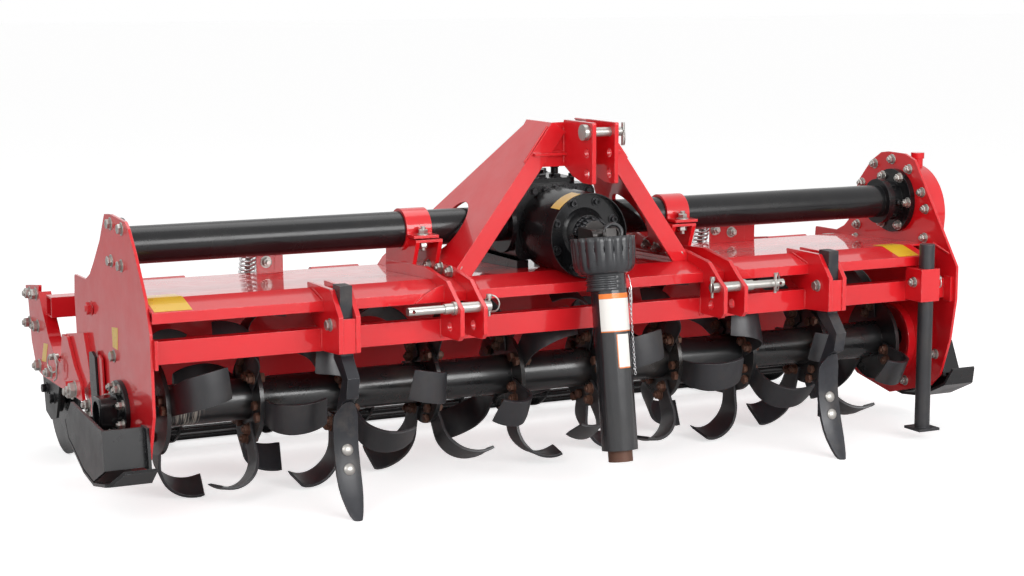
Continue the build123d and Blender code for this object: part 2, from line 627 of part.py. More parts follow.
def rippers():
    front = BEAM_Y - RIPPER_FRONT
    bar_y = SHANK_OUTLINE[0][0]
    half = RIPPER_W / 2
    inner = half + 0.5
    brackets = []
    for name, x in (("left", -RIPPER_X), ("right", RIPPER_X)):
        outline = [(front, 530), (front, 433), (BEAM_Y + 5, 425), (BEAM_Y + 5, 470),
                   (-180, 500), (-150, 596), (-316, 596)]
        bracket = box(x - inner, x + inner, front + 4, front + 14, 433, 524)
        bracket += box(x - inner, x + inner, bar_y + RIPPER_D + 0.5, bar_y + RIPPER_D + 14, 427, 560)
        for a, b in ((x - inner - RIPPER_CHEEK_T, x - inner), (x + inner, x + inner + RIPPER_CHEEK_T)):
            cheek = largest(side_solid(outline, a, b, 4) - UNDER_HOOD - BEAM_SPACE)
            bracket += cheek
        brackets.append(bracket)
        top = [(bar_y + RIPPER_D, 608), (bar_y, 608)]
        bar = side_solid(SHANK_OUTLINE + top, x - half, x + half)
        share = side_solid(SHARE_OUTLINE, x - RIPPER_POINT_W / 2, x + RIPPER_POINT_W / 2)
        edge = RIPPER_POINT_W / 2
        blade = Polyline(
            (x - edge, 262), (x + 4, 306), (x + 14, 306), (x + edge, 266), (x + edge, 84),
            (x + edge - 12, -1), (x - edge + 12, -1), (x - edge, 84), close=True)
        share &= extrude(Plane.XZ * make_face(blade), amount=500)
        save(f"ripper_shank_{name}", bar)
        save(f"ripper_point_{name}", share)
    save("ripper_brackets", *brackets)


# ---------------------------------------------------------------- parking stand
def stand():
    x, y = STAND_X + STAND_OFF[0], BEAM_Y - 44 + STAND_OFF[1]
    sleeve = box(STAND_X - 34, STAND_X + 34, BEAM_Y - 78, BEAM_Y, 429, 528)
    sleeve -= rod_z(x, y, 400, 560, STAND_R + 0.5)
    save("stand_sleeve", sleeve)
    leg = rod_z(x, y, STAND_FOOT_Z + 8, 601, STAND_R)
    leg += box(x - 38, x + 38, y - 38, y + 38, STAND_FOOT_Z, STAND_FOOT_Z + 8)
    save("parking_stand", leg)


# ---------------------------------------------------------------- roller frame and roller
BEAM_BACK_Y = (655.0, 715.0)     # crossbeam between the roller arms
BEAM_BACK_Z = (415.0, 475.0)


def roller_frame():
    bracket_outline = [
        (312, 424), (505, 392), (500, 330), (450, 236), (380, 233), (250, 300),
    ]
    bracket = side_solid(bracket_outline, HALF_WIDTH, ARM_X - SEAT, 8)
    pin = rod_x(PIVOT_Y, PIVOT_Z, ARM_X - SEAT, ARM_X + ARM_T + 20, 12)
    brackets = both(bracket + pin)
    arm_front = [(764, 478), (714, 416), (663, 359), (593, 311)]
    arm_outline = [(761, 499)] + arm_front + [
        (530, 302), (508, 391), (453, 392), (382, 317), (325, 280), (304, 231), (740, 229),
        (816, 239), (866, 317), (891, 436), (922, 478),
    ]
    arm = side_solid(arm_outline, ARM_X, ARM_X + ARM_T, 4)
    arm += side_solid(strip(arm_front, -ARM_T), ARM_X - ARM_FLANGE, ARM_X)
    arm -= box(0, ARM_X, *BEAM_BACK_Y, *BEAM_BACK_Z)
    arm -= rod_x(PIVOT_Y, PIVOT_Z, ARM_X - 1, ARM_X + ARM_T + 1, 12 + PIN_FIT)
    arms = both(arm)
    bearing = side_solid([(560, 300), (800, 300), (760, 120), (700, 104), (640, 120)],
                         ARM_X - 8, ARM_X, 10)
    inner = ARM_X - ROLLER_END_GAP + 12
    bearing += rod_x(ROLLER_Y, ROLLER_Z, inner, ARM_X - 8, 44)
    bearing -= rod_x(ROLLER_Y, ROLLER_Z, inner - 1, ARM_X + 1, 20 + PIN_FIT)
    bearings = both(bearing)
    save("roller_brackets", *brackets.values())
    save("roller_bearings", *bearings.values())
    save("roller_arm_right", arms["left"])
    save("roller_arm_left", arms["right"])
    (y0, y1), (z0, z1) = BEAM_BACK_Y, BEAM_BACK_Z
    beam = box(-ARM_X, ARM_X, y0, y1, z0, z1)
    beam -= box(-ARM_X, ARM_X, y0 + 5, y1 - 5, z0 + 5, z1 - 5)
    save("roller_crossbeam", beam)


def roller():
    reel = None
    step = 2 * ROLLER_HALF / (ROLLER_RINGS - 1)
    for k in range(ROLLER_RINGS):
        x = -ROLLER_HALF + k * step
        end = k in (0, ROLLER_RINGS - 1)
        wall = ROLLER_R - 20 if end else 46
        ring = pipe_x(ROLLER_Y, ROLLER_Z, x - 4, x + 4, ROLLER_R, wall)
        reel = ring if reel is None else reel + ring
    for i in range(ROLLER_BARS):
        a = math.radians(270 + i * 360 / ROLLER_BARS)
        r = ROLLER_R - ROLLER_BAR_R - 1
        y = ROLLER_Y + r * math.cos(a)
        z = ROLLER_Z + r * math.sin(a)
        reel += rod_x(y, z, -ROLLER_HALF, ROLLER_HALF, ROLLER_BAR_R)
    for side in (-1, 1):
        lo, hi = sorted((side * ROLLER_HALF, side * (ARM_X - 2)))
        reel += rod_x(ROLLER_Y, ROLLER_Z, lo, hi, 20)
    save("roller_reel", reel)


# ---------------------------------------------------------------- tailboard
def tailboard():
    top = (HINGE_Y + 14, HINGE_Z - 2)
    foot_y, foot_z = BOARD_FOOT
    slope = (foot_y - top[0]) / (top[1] - foot_z)
    sheet = [top, (foot_y, foot_z), (foot_y + 26, foot_z)]
    board = side_solid(strip(sheet, -BOARD_T), -PLATE_IN + 8, PLATE_IN - 8)
    count = 5
    barrel = 150.0
    pitch = 2 * (PLATE_IN - 200) / (count - 1)
    for k in range(count):
        x = -(PLATE_IN - 200) + k * pitch
        board += rod_x(HINGE_Y, HINGE_Z, x - barrel / 2, x + barrel / 2, 16)
    board -= rod_x(HINGE_Y, HINGE_Z, -PLATE_IN, PLATE_IN, 8 + PIN_FIT)
    lug_y, lug_z = ROD_LUG
    for side in (-1, 1):
        x = side * SPRING_X
        face_y = HINGE_Y + 14 + (HINGE_Z - 2 - lug_z) * slope
        lug = side_solid(
            [(face_y - 30 * slope + 2, lug_z + 30), (lug_y + 14, lug_z + 16),
             (lug_y + 16, lug_z - 16), (face_y + 60 * slope + 2, lug_z - 60)],
            x + 12, x + 20)
        board += lug
        board += rod_x(lug_y, lug_z, x - 14, x + 12, ROD_PIN_R)
    save("tailboard", board)
    rod = rod_x(HINGE_Y, HINGE_Z, -PLATE_IN, PLATE_IN, 8)
    for k in range(count + 1):
        x = -(PLATE_IN - 200) + (k - 0.5) * pitch
        x = max(min(x, PLATE_IN - 30), -PLATE_IN + 30)
        lug = side_solid([(HOOD_REAR_Y, HINGE_Z + 13), (HINGE_Y + 8, HINGE_Z + 12),
                          (HINGE_Y + 12, HINGE_Z - 10), (HOOD_REAR_Y, HINGE_Z - 12)],
                         x - 20, x + 20)
        rod += lug
    save("tailboard_hinge_rod", rod)


SPRING_STANDS = (            # spring X, X of the stand's side plate, its foot flange width
    (-SPRING_X, -739.0, 26.0),
    (SPRING_X, 853.0, 38.0),
)


def spring_rods():
    rods = []
    springs = []
    stands = []
    lug_y, lug_z = ROD_LUG
    collar = 118.0
    for x, plate_x, flange in SPRING_STANDS:
        place = Pos(x, lug_y, lug_z) * Rot(ROD_LEAN, 0, 0)
        rod = rod_z(0, 0, 12, ROD_EYE + 40, ROD_R)
        rod += pipe_x(0, 0, -10, 10, 15, 15 - ROD_PIN_R - PIN_FIT)
        rod += rod_z(0, 0, collar - 8, collar, SPRING_R + 2)
        rods.append(place * rod)
        sleeve = rod_z(0, 0, collar + SEAT, ROD_EYE - SEAT, SPRING_R)
        sleeve -= rod_z(0, 0, collar, ROD_EYE, SPRING_R - 2 * SPRING_WIRE_R)
        springs.append(place * sleeve)
        eye = box(-38, plate_x - x + 4, -34, 34, ROD_EYE, ROD_EYE + 8)
        eye -= box(-ROD_R - 3, ROD_R + 3, -15, 15, ROD_EYE - 1, ROD_EYE + 9)
        stand = side_solid(
            [(255, 540), (HOOD_REAR_Y, 540), (HOOD_REAR_Y + 10, 575), (400, 588), (412, 655),
             (360, 676), (255, 640)], plate_x, plate_x + 8)
        stand += box(plate_x, plate_x + flange, 255, 263, 540, 640)
        stand = largest(stand - UNDER_HOOD)
        stands.append(stand + place * eye)
    save("spring_rods", *rods)
    save("tailboard_springs", *springs)
    save("spring_stands", *stands)


# ---------------------------------------------------------------- drive shaft
def drive_shaft():
    place = Pos(0, SHAFT_Y, INPUT_Z) * Rot(-SHAFT_LEAN, 0, 0)
    yoke = rod_z(0, 0, -70, -40, 30)
    for side in (-1, 1):
        yoke += box(-16, 16, side * 30 - 6, side * 30 + 6, -44, 18)
    cross = rod_x(0, 0, -33 + SEAT, 33 - SEAT, 11)
    cross += rod_y(0, 0, -24, 24, 11)
    save("shaft_yoke", place * (yoke + cross))
    bell_profile = make_face(Polyline(
        (SHAFT_TUBE_R + SEAT, BELL_FOOT), (56, BELL_FOOT), (80, BELL_FOOT + 18), (88, -40),
        (88, BELL_RIM), (84, BELL_RIM), (84, -40), (76, BELL_FOOT + 21), (54, BELL_FOOT + 6),
        (SHAFT_TUBE_R + SEAT, BELL_FOOT + 6), close=True))
    bell = revolve(Plane.XZ * bell_profile, axis=Axis.Z)
    reach = 88 + FLUTE_R - FLUTE_DEPTH
    for k in range(FLUTE_COUNT):
        turn = 2 * math.pi * k / FLUTE_COUNT
        bell -= rod_z(reach * math.cos(turn), reach * math.sin(turn), BELL_FOOT, 0, FLUTE_R)
    save("shaft_bell", place * bell)
    guard = rod_z(0, 0, -590, BELL_FOOT, 50) - rod_z(0, 0, -591, BELL_FOOT - 12, 44)
    guard -= rod_z(0, 0, BELL_FOOT - 13, BELL_FOOT + 1, SHAFT_TUBE_R + SEAT)
    save("shaft_guard_tube", place * guard)
    inner = rod_z(0, 0, -622, -70, SHAFT_TUBE_R)
    save("shaft_inner_tube", place * inner)


end_plates()
hood_and_beam()
cross_tubes()
gearbox()
input_yoke()
mast()
lower_hitch()
tube_clamps()
side_drive()
rotor()
skids()
rippers()
stand()
roller_frame()
roller()
tailboard()
spring_rods()
drive_shaft()
export_all()
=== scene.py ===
import math
import random

import bmesh
import bpy
from mathutils import Matrix, Vector


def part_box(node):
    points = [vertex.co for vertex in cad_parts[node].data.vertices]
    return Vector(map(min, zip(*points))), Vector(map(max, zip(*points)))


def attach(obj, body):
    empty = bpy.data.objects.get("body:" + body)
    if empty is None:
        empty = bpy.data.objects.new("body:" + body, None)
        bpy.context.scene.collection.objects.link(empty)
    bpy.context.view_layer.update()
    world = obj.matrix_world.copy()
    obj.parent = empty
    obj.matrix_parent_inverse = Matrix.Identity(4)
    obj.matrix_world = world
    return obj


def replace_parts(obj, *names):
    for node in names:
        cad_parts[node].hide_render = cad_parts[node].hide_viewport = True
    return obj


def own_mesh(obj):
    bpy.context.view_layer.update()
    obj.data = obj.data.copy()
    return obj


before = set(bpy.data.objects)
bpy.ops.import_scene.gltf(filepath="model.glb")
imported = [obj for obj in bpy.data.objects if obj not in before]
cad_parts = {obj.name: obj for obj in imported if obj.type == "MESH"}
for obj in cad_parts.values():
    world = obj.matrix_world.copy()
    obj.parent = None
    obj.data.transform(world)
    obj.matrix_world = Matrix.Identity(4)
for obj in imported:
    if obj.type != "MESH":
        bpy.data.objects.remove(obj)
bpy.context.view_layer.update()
random.seed(7)

lo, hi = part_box("rotor_shaft")
AXIS_Y = (lo.y + hi.y) / 2          # rotor axis, from which the sizes below are set out
SIDES = (("left", -1), ("right", 1))
UP, DOWN = (0, 0, 1), (0, 0, -1)
FRONT = (0, -1, 0)
LEFT, RIGHT = (-1, 0, 0), (1, 0, 0)

# the machine's main places, in mm from the rotor axis and the floor
ROTOR_Z = 262
FLANGES = 10
FLANGE_SPAN = 1178.0
FLANGE_PITCH = 2 * FLANGE_SPAN / (FLANGES - 1)
BLADES_A_SIDE = 3
RIPPER_X = 767
LOWER_PIN_Y = -346
TUBE_Y, TUBE_Z = 11, 700
HOOD_FRONT_Y, HOOD_RIDGE_Y = -268, -180
HOOD_FRONT_Z, HOOD_RIDGE_Z = 560, 584
HOOD_RISE = (HOOD_RIDGE_Z - HOOD_FRONT_Z) / (HOOD_RIDGE_Y - HOOD_FRONT_Y)
HOOD_FALL, HOOD_RUN = 22, 480       # behind the ridge


# ---------------------------------------------------------------- places
def P(x, y, z):
    """Millimetres from the rotor axis and the floor to metres in the frame."""
    return Vector((x / 1000, AXIS_Y + y / 1000, z / 1000))


def basis(axis):
    """Rotation whose Z column is the axis."""
    z = Vector(axis).normalized()
    side = Vector((0, 0, 1)) if abs(z.z) < 0.9 else Vector((0, 1, 0))
    x = side.cross(z).normalized()
    return Matrix((x, z.cross(x), z)).transposed()


def polar(r, a, h=0.0):
    """A place r out and h up at angle a, from mm to metres."""
    return Vector((r * math.cos(a) / 1000, r * math.sin(a) / 1000, h / 1000))


# ---------------------------------------------------------------- mesh building
class Piece:
    """Gathers small solids of one material on one body into one mesh."""

    def __init__(self, name, body, material, slot, angle=35):
        self.name, self.body, self.material, self.slot, self.angle = name, body, material, slot, angle
        self.verts = []
        self.faces = []

    def add(self, verts, faces):
        n = len(self.verts)
        self.verts += [tuple(v) for v in verts]
        self.faces += [tuple(n + i for i in f) for f in faces]

    def loft(self, rows):
        """A skin over closed rows of places, with both ends closed."""
        n, m = len(rows), len(rows[0])
        faces = []
        for j in range(n - 1):
            for q in range(m):
                r = (q + 1) % m
                faces.append((j * m + q, j * m + r, (j + 1) * m + r, (j + 1) * m + q))
        faces.append(tuple(range(m))[::-1])
        faces.append(tuple((n - 1) * m + q for q in range(m)))
        self.add([v for row in rows for v in row], faces)

    def lathe(self, origin, axis, profile, seg=24):
        """Profile of (radius, height) in mm turned about the axis. Ends at radius 0 close it."""
        m = basis(axis)
        verts, rings = [], []
        for r, h in profile:
            if r <= 1e-6:
                rings.append([len(verts)])
                verts.append(origin + m @ Vector((0, 0, h / 1000)))
                continue
            ring = []
            for k in range(seg):
                ring.append(len(verts))
                verts.append(origin + m @ polar(r, 2 * math.pi * k / seg, h))
            rings.append(ring)
        faces = []
        for a, b in zip(rings, rings[1:]):
            if len(a) == 1 and len(b) == 1:
                continue
            for k in range(seg):
                j = (k + 1) % seg
                if len(a) == 1:
                    faces.append((a[0], b[j], b[k])[::-1])
                elif len(b) == 1:
                    faces.append((a[k], a[j], b[0]))
                else:
                    faces.append((a[k], a[j], b[j], b[k]))
        self.add(verts, faces)

    def hexbolt(self, origin, axis, af=19.0, head=9.0, washer=True, stud=0.0):
        """A hexagon head or nut with its washer; the axis points out of the surface."""
        turn = random.uniform(0, 1.05)
        h = 0.0
        r = af / math.sqrt(3)
        if washer:
            w = af * 0.62 + 2.5
            self.lathe(origin, axis, [(0, -0.5), (w, -0.5), (w, 1.8), (w - 0.6, 2.4), (0, 2.4)], 28)
            h = 2.4
        m = basis(axis)
        verts = []
        for z, k in ((h, 0.95), (h + 1.0, 1.0), (h + head - 1.6, 1.0), (h + head, 0.86)):
            for i in range(6):
                verts.append(origin + m @ polar(r * k, turn + i * math.pi / 3, z))
        faces = []
        for j in range(3):
            for i in range(6):
                b = (i + 1) % 6
                faces.append((j * 6 + i, j * 6 + b, (j + 1) * 6 + b, (j + 1) * 6 + i))
        faces.append(tuple(18 + i for i in range(6)))
        self.add(verts, faces)
        if stud:
            s, top = af * 0.31, h + head + stud
            self.lathe(origin, axis, [(s, h), (s, top - 1.5), (s - 1.4, top), (0, top)], 16)

    def socketbolt(self, origin, axis, r=11.0, head=12.0):
        """A cap screw with a round socket in its head."""
        base = 2.4
        top, floor_ = base + head, base + head * 0.35
        self.lathe(origin, axis, [(r + 5, 0), (r + 5, 2.2), (r, base), (r, top - 1), (r - 1, top),
                                  (r * 0.62, top), (r * 0.58, floor_), (0, floor_)], 24)

    def tube(self, points, radius, seg=10, closed=False, radii=None):
        """A round bar along points, in metres; the radius is in mm."""
        pts = [Vector(p) for p in points]
        n = len(pts)
        verts = []
        prev = None
        for i, p in enumerate(pts):
            a = pts[(i - 1) % n] if (closed or i > 0) else p
            b = pts[(i + 1) % n] if (closed or i < n - 1) else p
            t = (b - a).normalized()
            if prev is None:
                up = Vector((0, 0, 1)) if abs(t.z) < 0.9 else Vector((1, 0, 0))
                nx = up.cross(t).normalized()
            else:
                nx = (prev - t * prev.dot(t)).normalized()
            prev = nx
            ny = t.cross(nx)
            r = (radii[i] if radii else radius) / 1000
            for k in range(seg):
                c = 2 * math.pi * k / seg
                verts.append(p + nx * (r * math.cos(c)) + ny * (r * math.sin(c)))
        faces = []
        for i in range(n if closed else n - 1):
            j = (i + 1) % n
            for k in range(seg):
                m = (k + 1) % seg
                faces.append((i * seg + k, i * seg + m, j * seg + m, j * seg + k))
        if not closed:
            faces.append(tuple(range(seg))[::-1])
            faces.append(tuple((n - 1) * seg + k for k in range(seg)))
        self.add(verts, faces)

    def ring(self, centre, axis, radius, wire, seg=28, start=0.0, sweep=2 * math.pi):
        """A round wire ring or part of one."""
        m = basis(axis)
        full = sweep >= 2 * math.pi - 1e-6
        n = seg if full else seg + 1
        pts = []
        for k in range(n):
            a = start + sweep * k / seg
            pts.append(centre + m @ polar(radius, a))
        self.tube(pts, wire, 8, closed=full)

    def weld(self, a, b, radius=3.6, pitch=3.2):
        """A ripple bead between two places; the radius and the pitch are in mm."""
        length = (b - a).length * 1000
        n = max(4, int(length / pitch * 2))
        pts, radii = [], []
        for i in range(n + 1):
            f = i / n
            jitter = Vector([random.uniform(-1, 1) for _ in range(3)])
            pts.append(a.lerp(b, f) + jitter * 0.0003)
            end = min(1.0, min(f, 1 - f) * length / 6 + 0.45)
            radii.append(radius * end * (1.0 if i % 2 else 0.84))
        self.tube(pts, radius, 8, radii=radii)

    def slab(self, outline, thick):
        """A thin plate: its outline as places, pushed along its own normal by thick mm."""
        pts = [Vector(p) for p in outline]
        normal = (pts[1] - pts[0]).cross(pts[2] - pts[1]).normalized()
        n = len(pts)
        verts = pts + [p + normal * (thick / 1000) for p in pts]
        faces = [tuple(range(n))[::-1], tuple(range(n, 2 * n))]
        for i in range(n):
            j = (i + 1) % n
            faces.append((i, j, n + j, n + i))
        self.add(verts, faces)

    def patch(self, grid, thick, normals):
        """A curved thin label: rows of places, lifted by thick mm along each place's normal."""
        rows, cols = len(grid), len(grid[0])
        verts = []
        for lift in (0.15, thick):
            for i in range(rows):
                for j in range(cols):
                    verts.append(grid[i][j] + normals[i][j] * (lift / 1000))
        n = rows * cols
        faces = []
        for i in range(rows - 1):
            for j in range(cols - 1):
                a, b = i * cols + j, i * cols + j + 1
                c, d = b + cols, a + cols
                faces.append((n + a, n + b, n + c, n + d))
                faces.append((d, c, b, a))
        edge = [(0, j) for j in range(cols)] + [(i, cols - 1) for i in range(1, rows)]
        edge += [(rows - 1, j) for j in range(cols - 2, -1, -1)] + [(i, 0) for i in range(rows - 2, 0, -1)]
        ids = [i * cols + j for i, j in edge]
        for a, b in zip(ids, ids[1:] + ids[:1]):
            faces.append((b, a, n + a, n + b))
        self.add(verts, faces)

    def finish(self):
        """Make the mesh, turn its faces outwards and put it on its body."""
        mesh = bpy.data.meshes.new(self.name)
        mesh.from_pydata([tuple(v) for v in self.verts], [], self.faces)
        mesh.validate()
        shell = bmesh.new()
        shell.from_mesh(mesh)
        bmesh.ops.recalc_face_normals(shell, faces=shell.faces)
        shell.to_mesh(mesh)
        shell.free()
        for p in mesh.polygons:
            p.use_smooth = True
        mesh.set_sharp_from_angle(angle=math.radians(self.angle))
        mesh.materials.append(self.material)
        obj = bpy.data.objects.new(self.name, mesh)
        bpy.context.scene.collection.objects.link(obj)
        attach(obj, self.body)
        return obj


# ---------------------------------------------------------------- materials
PAINT_IOR = 1.5


def maths(nt, operation, *values):
    """A maths node fed with sockets or numbers; gives its output."""
    node = nt.nodes.new("ShaderNodeMath")
    node.operation = operation
    for socket, value in zip(node.inputs, values):
        if isinstance(value, float):
            socket.default_value = value
        else:
            nt.links.new(value, socket)
    return node.outputs[0]


def map_range(nt, value, a, b, low=0.0, high=1.0):
    """The value taken from a..b to low..high, and held there."""
    node = nt.nodes.new("ShaderNodeMapRange")
    node.inputs["From Min"].default_value = a
    node.inputs["From Max"].default_value = b
    node.inputs["To Min"].default_value = low
    node.inputs["To Max"].default_value = high
    nt.links.new(value, node.inputs["Value"])
    return node.outputs["Result"]


def mix_colour(nt, fac, a, b):
    """Colours or colour sockets a and b mixed by fac."""
    node = nt.nodes.new("ShaderNodeMix")
    node.data_type = "RGBA"
    nt.links.new(fac, node.inputs["Factor"])
    for name, value in (("A", a), ("B", b)):
        socket = [i for i in node.inputs if i.name == name and i.type == "RGBA"][0]
        if isinstance(value, tuple):
            socket.default_value = (*value, 1.0)
        else:
            nt.links.new(value, socket)
    return [o for o in node.outputs if o.type == "RGBA"][0]


def node_material(name, base, rough, metallic=0.0, coat=0.0, coat_rough=0.05, vary=0.12, grain=0.1,
                  grain_scale=900.0, edge_wear_and_highlight=0.0, edge_wear_and_highlight_colour=(0.3, 0.3, 0.31), dust=0.0,
                  dust_colour=(0.25, 0.2, 0.16), bevel=0.0015, spec=0.5):
    """Paint, steel or plastic: broad and fine colour change, grain, rounded edges, and lighter edges that
    are wear on most finishes and a painted highlight on the red paint.
    """
    mat = bpy.data.materials.new(name)
    mat.use_nodes = True
    nt = mat.node_tree
    nodes, links = nt.nodes, nt.links
    nodes.clear()
    out = nodes.new("ShaderNodeOutputMaterial")
    bsdf = nodes.new("ShaderNodeBsdfPrincipled")
    links.new(bsdf.outputs["BSDF"], out.inputs["Surface"])
    bsdf.inputs["Metallic"].default_value = metallic
    bsdf.inputs["IOR"].default_value = PAINT_IOR
    bsdf.inputs["Specular IOR Level"].default_value = spec
    bsdf.inputs["Coat Weight"].default_value = coat
    bsdf.inputs["Coat Roughness"].default_value = coat_rough
    coord = nodes.new("ShaderNodeTexCoord")

    def noise(scale, detail=4.0, rough_=0.55):
        n = nodes.new("ShaderNodeTexNoise")
        n.inputs["Scale"].default_value = scale
        n.inputs["Detail"].default_value = detail
        n.inputs["Roughness"].default_value = rough_
        links.new(coord.outputs["Object"], n.inputs["Vector"])
        return n.outputs["Fac"]

    dark = tuple(c * (1 - vary) for c in base)
    light = tuple(min(1.0, c * (1 + vary)) for c in base)
    speck = tuple(c * (1 - 1.6 * vary) for c in base)
    colour = mix_colour(nt, map_range(nt, noise(3.1, 3.0), 0.35, 0.65), dark, light)
    colour = mix_colour(nt, map_range(nt, noise(46.0, 5.0), 0.52, 0.74, 0.0, 0.5), colour, speck)
    roughness = map_range(nt, noise(14.0, 4.0), 0.3, 0.7, rough * 0.8, rough * 1.25)
    edge = nodes.new("ShaderNodeBevel")
    edge.samples = 4
    edge.inputs["Radius"].default_value = bevel
    # edge colour: wear on most finishes, a painted edge highlight on the red paint
    if edge_wear_and_highlight > 0:
        geo = nodes.new("ShaderNodeNewGeometry")
        dot = nodes.new("ShaderNodeVectorMath")
        dot.operation = "DOT_PRODUCT"
        links.new(geo.outputs["Normal"], dot.inputs[0])
        links.new(edge.outputs["Normal"], dot.inputs[1])
        sharp = map_range(nt, dot.outputs["Value"], 0.995, 0.93)
        spots = map_range(nt, noise(70.0, 5.0, 0.7), 0.45, 0.62)
        mark_mask = maths(nt, "MULTIPLY", maths(nt, "MULTIPLY", sharp, spots), edge_wear_and_highlight)
        colour = mix_colour(nt, mark_mask, colour, edge_wear_and_highlight_colour)
    if dust > 0:
        blot = map_range(nt, noise(9.0, 6.0, 0.65), 0.5, 0.78, 0.0, dust)
        colour = mix_colour(nt, blot, colour, dust_colour)
    links.new(colour, bsdf.inputs["Base Color"])
    links.new(roughness, bsdf.inputs["Roughness"])
    bump = nodes.new("ShaderNodeBump")
    bump.inputs["Strength"].default_value = grain
    bump.inputs["Distance"].default_value = 0.0004
    links.new(noise(grain_scale, 2.0), bump.inputs["Height"])
    links.new(edge.outputs["Normal"], bump.inputs["Normal"])
    links.new(bump.outputs["Normal"], bsdf.inputs["Normal"])
    if coat > 0:
        links.new(edge.outputs["Normal"], bsdf.inputs["Coat Normal"])
    return mat


# the red paint's lighter red edge colour is a painted edge highlight, not wear
RED = node_material("red_gloss", (0.67, 0.006, 0.012), 0.4, coat=0.9, coat_rough=0.04, spec=0.25, vary=0.05,
                    grain=0.06, grain_scale=260, edge_wear_and_highlight=0.65, edge_wear_and_highlight_colour=(0.85, 0.2, 0.2), bevel=0.0028)
BLACK = node_material("black_gloss", (0.007, 0.007, 0.008), 0.24, coat=0.1, spec=0.36, vary=0.2,
                      grain=0.08, grain_scale=240, edge_wear_and_highlight=0.5, edge_wear_and_highlight_colour=(0.14, 0.13, 0.13), dust=0.18,
                      dust_colour=(0.05, 0.045, 0.04))
STEEL = node_material("dark_steel", (0.022, 0.022, 0.025), 0.38, vary=0.25, grain=0.35,
                      grain_scale=420, edge_wear_and_highlight=0.8, edge_wear_and_highlight_colour=(0.2, 0.2, 0.21), dust=0.3,
                      dust_colour=(0.07, 0.055, 0.042), spec=0.55)
SHARE = node_material("share_steel", (0.022, 0.023, 0.028), 0.34, vary=0.3, grain=0.4, grain_scale=380,
                      edge_wear_and_highlight=0.9, edge_wear_and_highlight_colour=(0.22, 0.22, 0.23), dust=0.25, spec=0.42)
SKID = node_material("skid_grey", (0.012, 0.012, 0.013), 0.3, vary=0.2, grain=0.2, grain_scale=300,
                     edge_wear_and_highlight=0.7, edge_wear_and_highlight_colour=(0.25, 0.25, 0.26), spec=0.32)
ROTOR = node_material("rotor_black", (0.012, 0.012, 0.013), 0.3, coat=0.35, coat_rough=0.12, vary=0.3,
                      grain=0.2, grain_scale=300, edge_wear_and_highlight=0.9, edge_wear_and_highlight_colour=(0.16, 0.13, 0.11), dust=0.35,
                      dust_colour=(0.08, 0.06, 0.045))
ZINC = node_material("zinc_plate", (0.44, 0.425, 0.4), 0.34, metallic=0.85, vary=0.14, grain=0.3,
                     grain_scale=500, edge_wear_and_highlight=0.3, edge_wear_and_highlight_colour=(0.8, 0.79, 0.76), bevel=0.0007)
CHROME = node_material("spring_wire", (0.72, 0.72, 0.73), 0.2, metallic=0.9, vary=0.08, grain=0.05,
                       bevel=0.0004)
RUST = node_material("rusty_steel", (0.12, 0.055, 0.035), 0.55, metallic=0.3, vary=0.35, grain=0.6,
                     grain_scale=420, edge_wear_and_highlight=0.6, edge_wear_and_highlight_colour=(0.3, 0.24, 0.2), dust=0.4,
                     dust_colour=(0.1, 0.05, 0.03), bevel=0.0008)
BROWN = node_material("cast_yoke", (0.055, 0.05, 0.048), 0.38, metallic=0.5, vary=0.3, grain=0.7,
                      grain_scale=260, edge_wear_and_highlight=0.5, edge_wear_and_highlight_colour=(0.35, 0.33, 0.31), bevel=0.002)
PLASTIC = node_material("grey_plastic", (0.02, 0.021, 0.024), 0.3, coat=0.22, coat_rough=0.18,
                        grain=0.35, grain_scale=700, dust=0.12, dust_colour=(0.1, 0.095, 0.09), bevel=0.0012)
TUBE = node_material("tube_plastic", (0.016, 0.016, 0.018), 0.2, coat=0.6, coat_rough=0.12,
                     vary=0.25, grain=0.2, grain_scale=500, dust=0.3,
                     dust_colour=(0.05, 0.045, 0.04), bevel=0.0012)
BOLT_BLACK = node_material("black_oxide", (0.02, 0.02, 0.022), 0.3, metallic=0.4, vary=0.3, grain=0.2,
                           edge_wear_and_highlight=0.8, edge_wear_and_highlight_colour=(0.3, 0.3, 0.31), bevel=0.0007)
YELLOW = node_material("yellow_label", (0.83, 0.5, 0.02), 0.3, vary=0.05, grain=0.05, bevel=0.0003,
                       coat=0.4)
WHITE = node_material("pale_label", (0.8, 0.78, 0.74), 0.35, vary=0.05, grain=0.05, bevel=0.0003,
                      coat=0.4)
ORANGE = node_material("orange_label", (0.85, 0.2, 0.02), 0.3, vary=0.05, grain=0.05, bevel=0.0003,
                       coat=0.4)
WELD = node_material("weld_red", (0.66, 0.01, 0.015), 0.34, coat=0.4, vary=0.1, grain=0.3,
                     grain_scale=300, bevel=0.0004)


